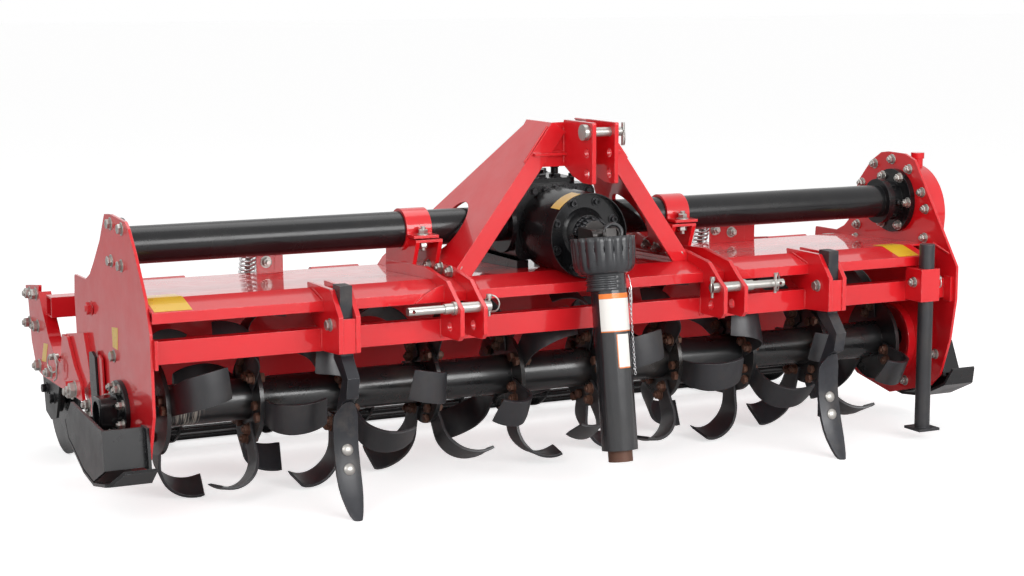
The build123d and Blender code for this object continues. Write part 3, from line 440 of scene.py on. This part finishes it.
def worn_band(material, x, half_width, colour):
    """A scuffed ring round the rotor tube at x metres, in streaks that run round it."""
    nt = material.node_tree
    bsdf = nt.nodes["Principled BSDF"]
    paint = bsdf.inputs["Base Color"].links[0].from_socket
    coord = nt.nodes.new("ShaderNodeTexCoord").outputs["Object"]
    stretch = nt.nodes.new("ShaderNodeMapping")
    stretch.inputs["Scale"].default_value = (260, 16, 16)
    nt.links.new(coord, stretch.inputs["Vector"])
    streak = nt.nodes.new("ShaderNodeTexNoise")
    streak.inputs["Scale"].default_value = 1.0
    streak.inputs["Detail"].default_value = 5.0
    nt.links.new(stretch.outputs["Vector"], streak.inputs["Vector"])
    parts = nt.nodes.new("ShaderNodeSeparateXYZ")
    nt.links.new(coord, parts.inputs["Vector"])
    away = maths(nt, "ABSOLUTE", maths(nt, "ADD", parts.outputs["X"], -x))
    band = map_range(nt, away, half_width, 0.3 * half_width)
    mark_mask = map_range(nt, streak.outputs["Fac"], 0.5, 0.58)
    worn = mix_colour(nt, maths(nt, "MULTIPLY", band, mark_mask), paint, colour)
    nt.links.new(worn, bsdf.inputs["Base Color"])


worn_band(ROTOR, -1.105, 0.05, (0.3, 0.27, 0.23))

# what the CAD nodes' names start with, and their finish; all others are red
LOOKS = (
    (("cross_tube", "gearbox", "input_guard", "rotor_bearing", "roller_reel"), BLACK),
    (("rotor_shaft",), ROTOR),
    (("rotor_blades", "parking_stand"), STEEL),
    (("ripper_point", "ripper_shank"), SHARE),
    (("skids", "roller_bearings"), SKID),
    (("top_link_pin", "lower_link_pins", "tailboard_hinge_rod", "spring_rods"), ZINC),
    (("tailboard_springs",), CHROME),
    (("input_yoke", "shaft_yoke"), BROWN),
    (("shaft_guard_tube",), TUBE),
    (("shaft_bell",), PLASTIC),
    (("shaft_inner_tube",), RUST),
)
for name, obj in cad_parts.items():
    look = next((mat for starts, mat in LOOKS if name.startswith(starts)), RED)
    for slot in obj.material_slots:
        slot.link = "DATA"
        slot.material = look
    if not obj.material_slots:
        obj.data.materials.append(look)


# ---------------------------------------------------------------- hardware on the frame
zinc = Piece("frame_bolts", "frame", ZINC, "zinc")
black = Piece("frame_black_bolts", "frame", BOLT_BLACK, "black_paint")
rust = Piece("rotor_bolts", "rotor", RUST, "worn_steel")
yellow = Piece("plain_labels_frame", "frame", YELLOW, "red_paint")
red_trim = Piece("red_trim", "frame", RED, "red_paint")
dark_trim = Piece("dark_trim", "frame", BLACK, "black_paint")
wire = Piece("linchpins", "frame", ZINC, "zinc")


def hood_z(y):
    """Height of the hood's outer face behind its front lip."""
    if y < HOOD_RIDGE_Y:
        return HOOD_FRONT_Z + HOOD_RISE * (y - HOOD_FRONT_Y)
    return HOOD_RIDGE_Z - HOOD_FALL * (y - HOOD_RIDGE_Y) / HOOD_RUN


# tube clamps: bolts through the ears and nuts below. Mast feet: bolts on both sides and a strip
MAST_SLOPE = (0.808, 0, 0.589)       # out of the sloping foot on the right
for side in (-1, 1):
    for y in (-70, 92):
        zinc.hexbolt(P(side * 421, y, 692), UP, 24, 13, stud=8)
        zinc.hexbolt(P(side * 421, y, 672), DOWN, 24, 13, stud=10)
    for y, z in ((200, 607), (150, 602)):
        zinc.hexbolt(P(side * 369.5, y, z), (side * MAST_SLOPE[0], 0, MAST_SLOPE[2]), 22, 11, stud=6)
    for y, z in ((108, 618), (13, 616), (-39, 611), (-119, 609), (-164, 608)):
        foot = 372.5 - 0.73 * (z - 585)
        zinc.hexbolt(P(side * foot, y, z), (-side * MAST_SLOPE[0], 0, -MAST_SLOPE[2]), 22, 12, stud=7)
    strip = ((338, -174), (346, -174), (366, 160), (358, 160))
    red_trim.slab([P(side * x, y, hood_z(y)) for x, y in strip], 9)
for y, z in ((-28, 599), (-108, 601), (-170, 598)):
    zinc.hexbolt(P(-384.2, y, z), LEFT, 24, 12, stud=5)

# left end plate and its hub
plate_x = 1000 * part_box("end_plate_left")[0].x
for y, z in ((58, 754), (-44, 751), (59, 655), (-35, 653), (58, 399)):
    zinc.hexbolt(P(plate_x, y, z), LEFT, 24, 11)
for k in range(8):
    a = math.radians(22.5 + 45 * k)
    zinc.hexbolt(P(plate_x - 14, 66 * math.cos(a), ROTOR_Z + 66 * math.sin(a)), LEFT, 20, 13, stud=5)
zinc.hexbolt(P(plate_x - 8, -161, 231), LEFT, 22, 11)
red_trim.hexbolt(P(plate_x, 276, 497), LEFT, 30, 13, stud=4)
bearing = Piece("rotor_bearing_block", "frame", BLACK, "black_paint")
BORE_R, BLOCK_R, BLOCK_HALF = 31, 50, 41
bearing.lathe(P(plate_x, 0, ROTOR_Z), LEFT,
              [(BORE_R, 0), (82, 0), (82, 12), (80, 14), (52, 14), (52, 22), (BORE_R, 22)], 64)
STEPS = 48
block, bore = [], []
for k in range(STEPS):
    a = 2 * math.pi * k / STEPS + math.radians(8)
    u, v = math.cos(a), math.sin(a)
    reach = min(BLOCK_HALF / max(abs(u), abs(v)), BLOCK_R)
    block.append((u * reach, v * reach))
    bore.append((u * BORE_R, v * BORE_R))
lip = [(y * 0.93, z * 0.93) for y, z in block]
places = []
for x, pts in ((-14, block), (-66, block), (-70, lip), (-70, bore), (-20, bore)):
    places += [P(plate_x + x, y, ROTOR_Z + z) for y, z in pts]
bearing.add(places, [(i * STEPS + k, i * STEPS + (k + 1) % STEPS, (i + 1) * STEPS + (k + 1) % STEPS,
                      (i + 1) * STEPS + k) for i in range(4) for k in range(STEPS)])
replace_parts(bearing.finish(), "rotor_bearing_left")

# right end plate, inner face, and the black drive flange
inner_x = 1000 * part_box("side_drive_case")[0].x - 8
for y, z in ((31, 828), (121, 807), (-56, 803), (185, 740), (-123, 736), (-144, 686), (206, 602),
             (-142, 596), (213, 557), (-212, 240), (-65, 131)):
    zinc.hexbolt(P(inner_x, y, z), LEFT, 22, 12, stud=6)
for k in range(6):
    a = math.radians(60 * k)
    zinc.hexbolt(P(inner_x - 18, TUBE_Y + 86 * math.cos(a), TUBE_Z + 86 * math.sin(a)), LEFT, 22, 12, stud=5)
dark_trim.lathe(P(inner_x - 40, TUBE_Y, TUBE_Z), FRONT, [(9, 56), (9, 76), (7, 78), (0, 78)], 16)

# black link plate with two bolts, and the red plate behind it, beside the roller arm
link_x = plate_x - 16
outline = [(252, 380), (225, 386), (196, 374), (168, 206), (228, 198), (250, 300)]
dark_trim.slab([P(link_x, y, z) for y, z in outline], 8)
outline = [(190, 372), (176, 384), (150, 375), (128, 214), (170, 206)]
red_trim.slab([P(link_x + 6, y, z) for y, z in outline], 6)
zinc.hexbolt(P(link_x - 8, 236, 236), LEFT, 24, 12, stud=8)
zinc.hexbolt(P(link_x - 8, 232, 208), LEFT, 24, 12, stud=8)

# ripper brackets: a bolt through each, head and nut
for side in (-1, 1):
    zinc.hexbolt(P(side * RIPPER_X - 30.5, -313, 503), LEFT, 24, 11)
    zinc.hexbolt(P(side * RIPPER_X + 30.5, -313, 503), RIGHT, 24, 14, stud=6)

# stand: clamping bolt and linchpin with its ring
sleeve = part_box("stand_sleeve")
sleeve_left, sleeve_right = 1000 * sleeve[0].x, 1000 * sleeve[1].x
zinc.hexbolt(P(sleeve_left, -292, 486), LEFT, 22, 12, stud=5)
wire.tube([P(sleeve_right, -292, 492), P(sleeve_right + 34, -292, 492)], 5, 12)
wire.ring(P(sleeve_right + 24, -296, 484), (0.5, -0.8, 0.2), 19, 2)

# link pins: linchpins at the lower pins' inner ends, at the right outer end and on the top pin
for side in (-1, 1):
    x = side * 353
    wire.tube([P(x, LOWER_PIN_Y, 498), P(x, LOWER_PIN_Y, 556)], 4.5, 12)
    wire.lathe(P(x, LOWER_PIN_Y, 546), UP, [(0, 0), (7, 0), (8, 4), (7, 12), (0, 12)], 16)
    wire.ring(P(x - side * 6, -352, 533), (0.8 * side, -0.6, 0), 22, 2.2)
wire.tube([P(566, LOWER_PIN_Y, 498), P(566, LOWER_PIN_Y, 556)], 4.5, 12)
wire.ring(P(570, -352, 530), (0.7, -0.7, 0), 26, 2.2)
wire.tube([P(72, -320, 940), P(72, -320, 1003)], 5, 12)
wire.ring(P(72, -326, 962), (0.9, -0.4, 0), 18, 2.2)
wire.finish()

# spring stands: a front plate on each and its bolts
for x0, x1 in ((-792, -739), (724, 853)):
    outline = ((x0, 562), (x1, 562), (x1, 640), (x0 + 10, 634), (x0, 624))
    red_trim.slab([P(x, 260.5, z) for x, z in outline], 6)
zinc.hexbolt(P(-764, 255, 597), FRONT, 24, 13, stud=8)
zinc.hexbolt(P(803, 255, 596), FRONT, 24, 13, stud=8)
zinc.hexbolt(P(742, 255, 606), FRONT, 24, 13, stud=8)

# gearbox: open guard, bolted face, cover screws, cast ribs and breather
GUARD_X, GUARD_Z = 4, 685            # middle of the round input
guard_ring = Piece("input_guard", "frame", BLACK, "black_paint")
guard_ring.lathe(P(GUARD_X, -62, GUARD_Z), FRONT,
                 [(117, 0), (120, 0), (120, 192), (119.6, 193), (117.4, 193), (117, 192), (117, 167),
                  (66, 166), (58, 172), (48, 188), (40, 189), (30, 189), (30, 150)], 96)
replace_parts(guard_ring.finish(), "input_guard_ring")
for k in range(8):
    a = math.radians(24 + 45 * k)
    place = P(GUARD_X + 98 * math.cos(a), -229, GUARD_Z + 98 * math.sin(a))
    black.socketbolt(place, FRONT, 9, 10)
collar = Piece("input_collar", "frame", PLASTIC, "black_plastic", angle=50)
COLLAR_Z = 690
n = 24
rows = []
for y, r in ((-232, 44), (-236, 48), (-268, 48), (-286, 42), (-289, 39)):
    arc = [math.pi * k / n for k in range(n + 1)]
    rows.append([P(GUARD_X + r * math.cos(a), y, COLLAR_Z + r * math.sin(a)) for a in arc])
for front, back in zip(rows, rows[1:]):
    for k in range(n):
        collar.add([front[k], front[k + 1], back[k + 1], back[k]], [(0, 1, 2, 3)])
wall = collar.finish().modifiers.new("wall", "SOLIDIFY")
wall.thickness = 0.004
wall.offset = -1
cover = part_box("gearbox_cover")
top_z = 1000 * cover[0].z + 16
for x in (-70, -24, 24, 70):
    for y in (-26, 148):
        black.hexbolt(P(x, y, top_z), UP, 17, 9)
rim_z = 1000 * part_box("gearbox")[1].z - 12
for x in (-106, -70, -35, 0, 35, 70, 106):
    black.hexbolt(P(x, -60, rim_z - abs(x) * 0.08), FRONT, 17, 9)
breather = [(0, 0), (16, 0), (16, 8), (11, 10), (11, 26), (14, 28), (14, 38), (0, 40)]
dark_trim.lathe(P(34, 10, top_z), UP, breather, 20)
for k in range(6):
    y = -6 + 24 * k
    dark_trim.slab([P(-78, y, top_z), P(-78, y + 6, top_z), P(-20, y + 6, top_z), P(-20, y, top_z)], 7)
dark_trim.finish()
red_trim.finish()

# ---------------------------------------------------------------- drive shaft
LEAN = math.radians(9)
JOINT = P(0, -350, 697)              # middle of the joint that the shaft hangs from
DOWN_AXIS = Vector((0, -math.sin(LEAN), -math.cos(LEAN)))
LEVEL = Vector((0, -math.cos(LEAN), math.sin(LEAN)))


def on_shaft(s, r, deg):
    """A place on the shaft: s mm down it, r mm out, deg round from straight ahead, positive to +X."""
    a = math.radians(deg)
    out = LEVEL * (r * math.cos(a) / 1000) + Vector((r * math.sin(a) / 1000, 0, 0))
    return JOINT + DOWN_AXIS * (s / 1000) + out


bell = Piece("fluted_bell", "drive_shaft", PLASTIC, "black_plastic", angle=50)
outer = [(56, 106), (70, 103), (80, 94), (85, 82), (87.5, 66), (89, 40), (90, 18), (90.5, 6), (89, 4.6)]
inner = [(86.5, 5), (85.5, 40), (83, 70), (76, 88), (56, 99)]
SEG, FLUTES, FLUTE_DEPTH = 320, 20, 3.6
SHIFT = Vector((-0.009, 0, 0))       # the loose bell hangs to the left
verts, faces = [], []
for n, (r, s) in enumerate(outer + inner):
    depth = 0.0
    if n < len(outer):
        depth = FLUTE_DEPTH * max(0.0, min(1.0, (103 - s) / 34)) if s > 40 else FLUTE_DEPTH
    for k in range(SEG):
        dip = 0.5 - 0.5 * math.cos(2 * math.pi * ((FLUTES * k / SEG) % 1.0))
        verts.append(on_shaft(s, r - depth * dip ** 1.6, 360.0 * k / SEG) + SHIFT)
for i in range(len(outer + inner) - 1):
    for k in range(SEG):
        j = (k + 1) % SEG
        faces.append((i * SEG + k, (i + 1) * SEG + k, (i + 1) * SEG + j, i * SEG + j))
bell.add(verts, faces)
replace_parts(bell.finish(), "shaft_bell")

# ribbed neck under the bell, with its catch
neck = Piece("shaft_neck", "drive_shaft", PLASTIC, "black_plastic", angle=50)
for s0, s1, r in ((98, 112, 52.5), (112, 118, 50.8), (118, 124, 53.5), (124, 130, 50.8),
                  (130, 136, 53.5), (136, 142, 50.8), (142, 151, 53.5)):
    long = s1 - s0
    rib = [(46, 0), (r - 0.8, 0), (r, 0.8), (r, long - 0.8), (r - 0.8, long), (46, long)]
    neck.lathe(on_shaft(s0, 0, 0) + SHIFT, DOWN_AXIS, rib, 64)
catch = [(0, 0), (9, 0), (9, 6), (6, 9), (0, 9)]
neck.lathe(on_shaft(108, 50, 84) + SHIFT, Vector((1, -0.1, 0)), catch, 16)
neck.finish()

# the joint: a round eye in front and the yoke's cap behind it
loop = Piece("joint_eye", "drive_shaft", PLASTIC, "black_plastic", angle=50)
eye = P(6, -384, 707)
loop.ring(eye, (-0.35, -0.9, 0.25), 24, 5.5, 40, math.radians(-20), math.radians(220))
loop.finish()
eyes = Piece("yoke_eyes", "drive_shaft", BROWN, "zinc")
cap = [(0, -6), (20, -6), (22, -4), (22, 4), (18, 8), (11, 9), (10, 4), (0, 4)]
eyes.lathe(P(0, -376, 701), (0, -1, 0.15), cap, 28)
eyes.finish()


GUARD_TUBE_R = 50.0


def shaft_label(piece, s0, s1, d0, d1):
    """A plain label round the guard tube, from s0 to s1 mm down it and d0 to d1 degrees round."""
    rows, normals = [], []
    steps = 14
    turns = [d0 + (d1 - d0) * k / steps for k in range(steps + 1)]
    for s in (s0, s1):
        row = [on_shaft(s, GUARD_TUBE_R, d) for d in turns]
        rows.append(row)
        normals.append([(on_shaft(s, GUARD_TUBE_R + 1, d) - v).normalized() for d, v in zip(turns, row)])
    piece.patch(rows, 0.5, normals)


pale = Piece("shaft_label_plain", "drive_shaft", WHITE, "black_plastic")
shaft_label(pale, 174, 262, -64, 54)
shaft_label(pale, 272, 362, -12, 32)
pale.finish()
orange = Piece("shaft_label_band", "drive_shaft", ORANGE, "black_plastic")
shaft_label(orange, 160, 173.6, -64, 54)
shaft_label(orange, 262.4, 265, -64, 54)
shaft_label(orange, 362.3, 365, -12, 32)
shaft_label(orange, 272, 362, -15, -12.3)
orange.finish()

# safety chain, with its wire loop above
chain = Piece("shaft_chain", "drive_shaft", CHROME, "chrome_wire", angle=60)
links = 34
for k in range(links):
    f = k / (links - 1)
    s = 150 + 232 * f
    deg = 58 + 6 * math.sin(5 * f) + 8 * f
    c = on_shaft(s, 56.5, deg)
    along = (on_shaft(s + 4, 56.5, deg) - c).normalized()
    radial = (on_shaft(s, 60, deg) - c).normalized()
    across = along.cross(radial)
    flat = radial if k % 2 else across
    pts = []
    for i in range(14):
        a = 2 * math.pi * i / 14
        pts.append(c + along * (0.0052 * math.cos(a)) + flat * (0.0029 * math.sin(a)))
    chain.tube(pts, 0.9, 6, closed=True)
LOOP = ((112, 56, 70), (128, 60, 66), (150, 62, 58), (176, 62, 64), (214, 60, 74), (222, 59, 71),
        (190, 60, 60), (150, 61, 54))   # mm down the shaft, mm out, degrees round
chain.tube([on_shaft(*place) for place in LOOP], 1.3, 8)
chain.finish()

# ---------------------------------------------------------------- rotor
def blade_roots():
    """Flange place, side and turn of every blade; the outer flanges carry blades inwards only."""
    for k in range(FLANGES):
        for side in (-1, 1):
            if (k == 0 and side < 0) or (k == FLANGES - 1 and side > 0):
                continue
            for i in range(BLADES_A_SIDE):
                turn = 18 + 24 * k + 120 * i + (60 if side > 0 else 0)
                yield -FLANGE_SPAN + k * FLANGE_PITCH, side, math.radians(turn)


# two bolts through the root of each blade, with nuts behind the flange
for x, side, a in blade_roots():
    for r, off in ((84, -13), (106, 12)):
        y = -r * math.sin(a) - off * math.cos(a)
        z = ROTOR_Z + r * math.cos(a) - off * math.sin(a)
        rust.hexbolt(P(x + side * 14, y, z), (side, 0, 0), 24, 13, stud=5)
        rust.hexbolt(P(x - side * 6, y, z), (-side, 0, 0), 24, 12, washer=False)
rust.finish()


def blade_path():
    """Stations along a blade, a strip bent and twisted from the flange outwards: sideways,
    radial and trailing place, width and twist."""
    stations = []
    for r in (68, 76, 92, 110, 128, 144):
        stations.append((4.0, r))
    cx, cr, bend = 90.0, 153.0, 86.0
    for k in range(17):
        a = math.radians(180 - 118 * k / 16)
        stations.append((cx + bend * math.cos(a), cr + bend * math.sin(a)))
    total = 0.0
    lengths = [0.0]
    for a, b in zip(stations, stations[1:]):
        total += math.hypot(b[0] - a[0], b[1] - a[1])
        lengths.append(total)
    out = []
    for (x, r), length in zip(stations, lengths):
        f = length / total
        trail = 45 * f ** 1.3
        width = 58 + 30 * min(1.0, f * 1.7)
        if f > 0.97:
            width -= 3
        out.append((x, r, trail, width, math.radians(10 * max(0.0, f - 0.3))))
    return out


PATH = blade_path()
BLADE_HALF_T = 0.004
for hand, hand_side in SIDES:
    blades = Piece(f"blades_{hand}", "rotor", STEEL, "worn_steel", angle=40)
    for flange_x, side, turn in blade_roots():
        if side != hand_side:
            continue
        radial = Vector((0, -math.sin(turn), math.cos(turn)))
        tang = Vector((0, math.cos(turn), math.sin(turn)))
        sideways = Vector((side, 0, 0))
        root = P(flange_x + side * 6, 0, ROTOR_Z)
        centres = [root + (sideways * x + radial * r + tang * t) / 1000 for x, r, t, w, tw in PATH]
        rows = []
        for j, c in enumerate(centres):
            a = centres[max(0, j - 1)]
            b = centres[min(len(centres) - 1, j + 1)]
            along = (b - a).normalized()
            wide = (tang - along * tang.dot(along)).normalized()
            face = along.cross(wide).normalized()
            tw = PATH[j][4] * side
            wide, face = (wide * math.cos(tw) + face * math.sin(tw),
                          face * math.cos(tw) - wide * math.sin(tw))
            w, h = PATH[j][3] / 2000, BLADE_HALF_T
            section = ((-w, -0.3 * h), (-w + 0.016, -h), (w - 0.001, -h), (w, 0), (w - 0.001, h),
                       (-w + 0.016, h), (-w, 0.3 * h))      # sharpened on one edge
            rows.append([c + wide * u + face * v for u, v in section])
        blades.loft(rows)
    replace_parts(blades.finish(), f"rotor_blades_{hand}")

# ---------------------------------------------------------------- ripper points
# height, front place and half width of each section, from the top down
POINT = ((306, -370, 5), (296, -362, 17), (280, -351, 27), (262, -344, 34), (230, -342, 34.5),
         (200, -343, 34.5), (170, -347, 34.5), (140, -354, 34.5), (110, -363, 34), (80, -375, 32.5),
         (55, -388, 29), (30, -403, 23), (12, -415, 17), (0, -424, 11))
POINT_BOW, POINT_T = 5.5, 11
for name, side in SIDES:
    point = Piece(f"point_{name}", f"ripper_{name}", SHARE, "worn_steel", angle=50)
    x = side * RIPPER_X
    rows = []
    for z, y, half in POINT:
        row = []
        for u in [-1 + q / 4 for q in range(9)]:
            row.append(P(x + u * half, y + POINT_BOW * u * u, z))
        back_z = z - 3 if z > 4 else z
        for u in (1, 0.6, -0.6, -1):
            row.append(P(x + u * half * 0.96, y + POINT_BOW * abs(u) + POINT_T, back_z))
        rows.append(row)
    point.loft(rows)
    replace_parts(point.finish(), f"ripper_point_{name}")
    tines = Piece(f"ripper_bolts_{name}", f"ripper_{name}", ZINC, "zinc")
    for y, z in ((-346, 174), (-358, 124)):
        dome = [(16, 0), (15.5, 2.5), (12, 5.5), (6, 7.5), (0, 8.2)]
        tines.lathe(P(x, y, z), Vector((0, -0.97, 0.24)), dome, 28)
    tines.finish()

# ---------------------------------------------------------------- roller arms
# bolts, and the adjuster's pin with its ring and hook
for name, side in SIDES:
    outwards = (side, 0, 0)
    arm = Piece(f"roller_arm_bolts_{name}", "roller_frame", ZINC, "zinc")
    x = side * 1292
    for y, z in ((866, 461), (793, 468), (879, 370), (782, 373), (774, 256), (645, 257)):
        arm.hexbolt(P(x, y, z), outwards, 27, 15, stud=6)
    for y, z in ((414, 242), (381, 254)):
        arm.hexbolt(P(x, y, z), outwards, 34, 16, stud=8)
    arm.tube([P(x, 556, 318), P(x + side * 26, 556, 318)], 9, 16)
    arm.ring(P(x + side * 18, 552, 300), (0.9 * side, -0.3, 0), 26, 2.4)
    hook = ((540, 330), (512, 300), (520, 262), (548, 250))
    arm.tube([P(x + side * 16, y, z) for y, z in hook], 2.6, 10)
    arm.finish()
    dark = Piece(f"roller_dark_bolts_{name}", "roller_frame", BOLT_BLACK, "black_paint")
    for y, z in ((742, 192), (660, 176)):
        dark.hexbolt(P(side * 1282, y, z), outwards, 24, 13)
    dark.finish()

# ---------------------------------------------------------------- labels, left plain
yellow.slab([P(plate_x - 0.2, y, z) for y, z in ((68, 422), (21, 421), (15, 481), (72, 475))], 0.5)

SLOPE = -HOOD_FALL / HOOD_RUN
for x0, x1, y0, y1 in ((-1252, -1152, -262, -112), (1070, 1146, -262, -132)):
    grid, normals = [], []
    for x in (x0, x1):
        row, up = [], []
        for y in (y0, (y0 + HOOD_RIDGE_Y) / 2, HOOD_RIDGE_Y, (y1 + HOOD_RIDGE_Y) / 2, y1):
            rise = HOOD_RISE if y < HOOD_RIDGE_Y else SLOPE
            if y == HOOD_RIDGE_Y:
                rise = (HOOD_RISE + SLOPE) / 2
            row.append(P(x, y, hood_z(y) + 0.3))
            up.append(Vector((0, -rise, 1)).normalized())
        grid.append(row)
        normals.append(up)
    yellow.patch(grid, 0.8, normals)
grid, normals = [], []
for y in (-249, -198):
    row, up = [], []
    for k in range(13):
        a = math.radians(140 - 38 * k / 12)
        d = Vector((math.cos(a), 0, math.sin(a)))
        row.append(P(GUARD_X, y, GUARD_Z) + d * 0.1201)
        up.append(d)
    grid.append(row)
    normals.append(up)
yellow.patch(grid, 0.5, normals)
yellow.finish()
arm_label = Piece("plain_label_arm", "roller_frame", YELLOW, "red_paint")
arm_label.slab([P(-1292.2, y, z) for y, z in ((748, 273), (700, 278), (670, 336), (717, 332))], 0.5)
arm_label.finish()

zinc.finish()
black.finish()

# ---------------------------------------------------------------- weld beads
welds = Piece("frame_welds", "frame", WELD, "red_paint", angle=60)
for side in (-1, 1):
    for x in (372 * side, 384 * side, 441 * side, 453 * side):
        welds.weld(P(x, -266, 540), P(x, -254, 560))
        welds.weld(P(x, -252, 486), P(x, -252, 432))
    for x in (736.5 * side, 797.5 * side):
        welds.weld(P(x, -252, 482), P(x, -252, 432))
        welds.weld(P(x, -266, 562), P(x, -182, 586))
    welds.weld(P(side * 41, -186, 985), P(side * 41, -186, 884))
    welds.weld(P(side * 41, -186, 918), P(side * 100, -186, 917))
    welds.weld(P(side * 92, -184, 990), P(side * 165, -184, 890))
    if side > 0:
        welds.weld(P(1140, -253, 528), P(1140, -253, 432))     # stand's sleeve
    welds.weld(P(side * 1259, -253, 484), P(side * 1259, -253, 426))
    welds.weld(P(side * 1259, -266, 560), P(side * 1259, -182, 586))
welds.weld(P(800, 257, 575), P(800, 400, 590))
welds.finish()

# ---------------------------------------------------------------- springs
ROD_LEAN = math.radians(16.3)
COIL_FOOT, COIL_TOP, COLLAR = 122, 296, 118      # mm along the rod from its lower eye
COIL_R, COIL_TURNS, STEPS_A_TURN = 0.0232, 13, 18
rod_axis = Vector((0, -math.sin(ROD_LEAN), math.cos(ROD_LEAN)))
sideways = Vector((1, 0, 0))
level = rod_axis.cross(sideways)
for n, x in enumerate((-772, 772)):
    coil = Piece(f"coil_spring_{n}", "spring_rods", CHROME, "chrome_wire", angle=60)
    rod_eye = P(x, 454, 350)
    pts = []
    for i in range(COIL_TURNS * STEPS_A_TURN + 1):
        t = i / (COIL_TURNS * STEPS_A_TURN)
        h = COIL_FOOT + (COIL_TOP - COIL_FOOT) * t
        a = 2 * math.pi * COIL_TURNS * t
        pts.append(rod_eye + rod_axis * (h / 1000) + (sideways * math.cos(a) + level * math.sin(a)) * COIL_R)
    coil.tube(pts, 3.5, 8)
    obj = coil.finish()
    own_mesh(obj)
    if n == 0:
        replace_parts(obj, "tailboard_springs")

# ---------------------------------------------------------------- floor, light, camera
FLOOR_HALF = 60
corners = [(-FLOOR_HALF, -FLOOR_HALF, 0), (FLOOR_HALF, -FLOOR_HALF, 0), (FLOOR_HALF, FLOOR_HALF, 0),
           (-FLOOR_HALF, FLOOR_HALF, 0)]
floor_mesh = bpy.data.meshes.new("floor")
floor_mesh.from_pydata(corners, [], [(0, 1, 2, 3)])
floor = bpy.data.objects.new("floor", floor_mesh)
bpy.context.scene.collection.objects.link(floor)


def pale_floor():
    """A matt floor that the camera sees a little lighter than its light makes it."""
    mat = bpy.data.materials.new("pale_floor")
    mat.use_nodes = True
    nt = mat.node_tree
    bsdf = nt.nodes["Principled BSDF"]
    bsdf.inputs["Base Color"].default_value = (0.8, 0.8, 0.8, 1)
    bsdf.inputs["Roughness"].default_value = 0.9
    bsdf.inputs["Specular IOR Level"].default_value = 0.1
    bsdf.inputs["Emission Color"].default_value = (1, 1, 1, 1)
    seen = nt.nodes.new("ShaderNodeLightPath").outputs["Is Camera Ray"]
    nt.links.new(maths(nt, "MULTIPLY", seen, 0.62), bsdf.inputs["Emission Strength"])
    return mat


def studio():
    """White where it is seen, directly or reflected, and dimmer as a light."""
    world = bpy.data.worlds.new("studio")
    world.use_nodes = True
    nt = world.node_tree
    nt.nodes.clear()
    shaders = []
    for strength in (0.42, 1.0):
        background = nt.nodes.new("ShaderNodeBackground")
        background.inputs["Color"].default_value = (1, 1, 1, 1)
        background.inputs["Strength"].default_value = strength
        shaders.append(background.outputs[0])
    path = nt.nodes.new("ShaderNodeLightPath")
    through = maths(nt, "MAXIMUM", path.outputs["Is Camera Ray"], path.outputs["Is Transmission Ray"])
    seen = maths(nt, "MAXIMUM", through, path.outputs["Is Glossy Ray"])
    pick = nt.nodes.new("ShaderNodeMixShader")
    out = nt.nodes.new("ShaderNodeOutputWorld")
    nt.links.new(seen, pick.inputs["Fac"])
    nt.links.new(shaders[0], pick.inputs[1])
    nt.links.new(shaders[1], pick.inputs[2])
    nt.links.new(pick.outputs[0], out.inputs["Surface"])
    return world


def area(name, place, aim, size, size_y, power):
    """A rectangular lamp at a place, turned towards another."""
    data = bpy.data.lights.new(name, "AREA")
    data.shape = "RECTANGLE"
    data.size = size
    data.size_y = size_y
    data.energy = power
    lamp = bpy.data.objects.new(name, data)
    bpy.context.scene.collection.objects.link(lamp)
    lamp.location = place
    lamp.rotation_euler = (Vector(aim) - Vector(place)).to_track_quat("-Z", "Y").to_euler()


floor.data.materials.append(pale_floor())
bpy.context.scene.world = studio()
area("key_left", (-5.0, -4.5, 3.6), (0, 0, 0.5), 3.0, 3.0, 118)
area("front", (1.4, -6.6, 2.6), (0.1, 0, 0.45), 5.5, 2.4, 315)
area("top", (0.5, 1.0, 5.0), (0, 0, 0.4), 4.0, 3.0, 70)

cam_data = bpy.data.cameras.new("camera")
cam = bpy.data.objects.new("camera", cam_data)
bpy.context.scene.collection.objects.link(cam)
cam.location = P(-2765, -5242.5, 1393.7)
cam.rotation_euler = (math.pi / 2 - 0.149, 0, -0.469)
cam_data.sensor_width = 36
cam_data.lens = 72.43
cam_data.clip_end = 300
bpy.context.scene.camera = cam
bpy.context.scene.view_settings.view_transform = "Standard"
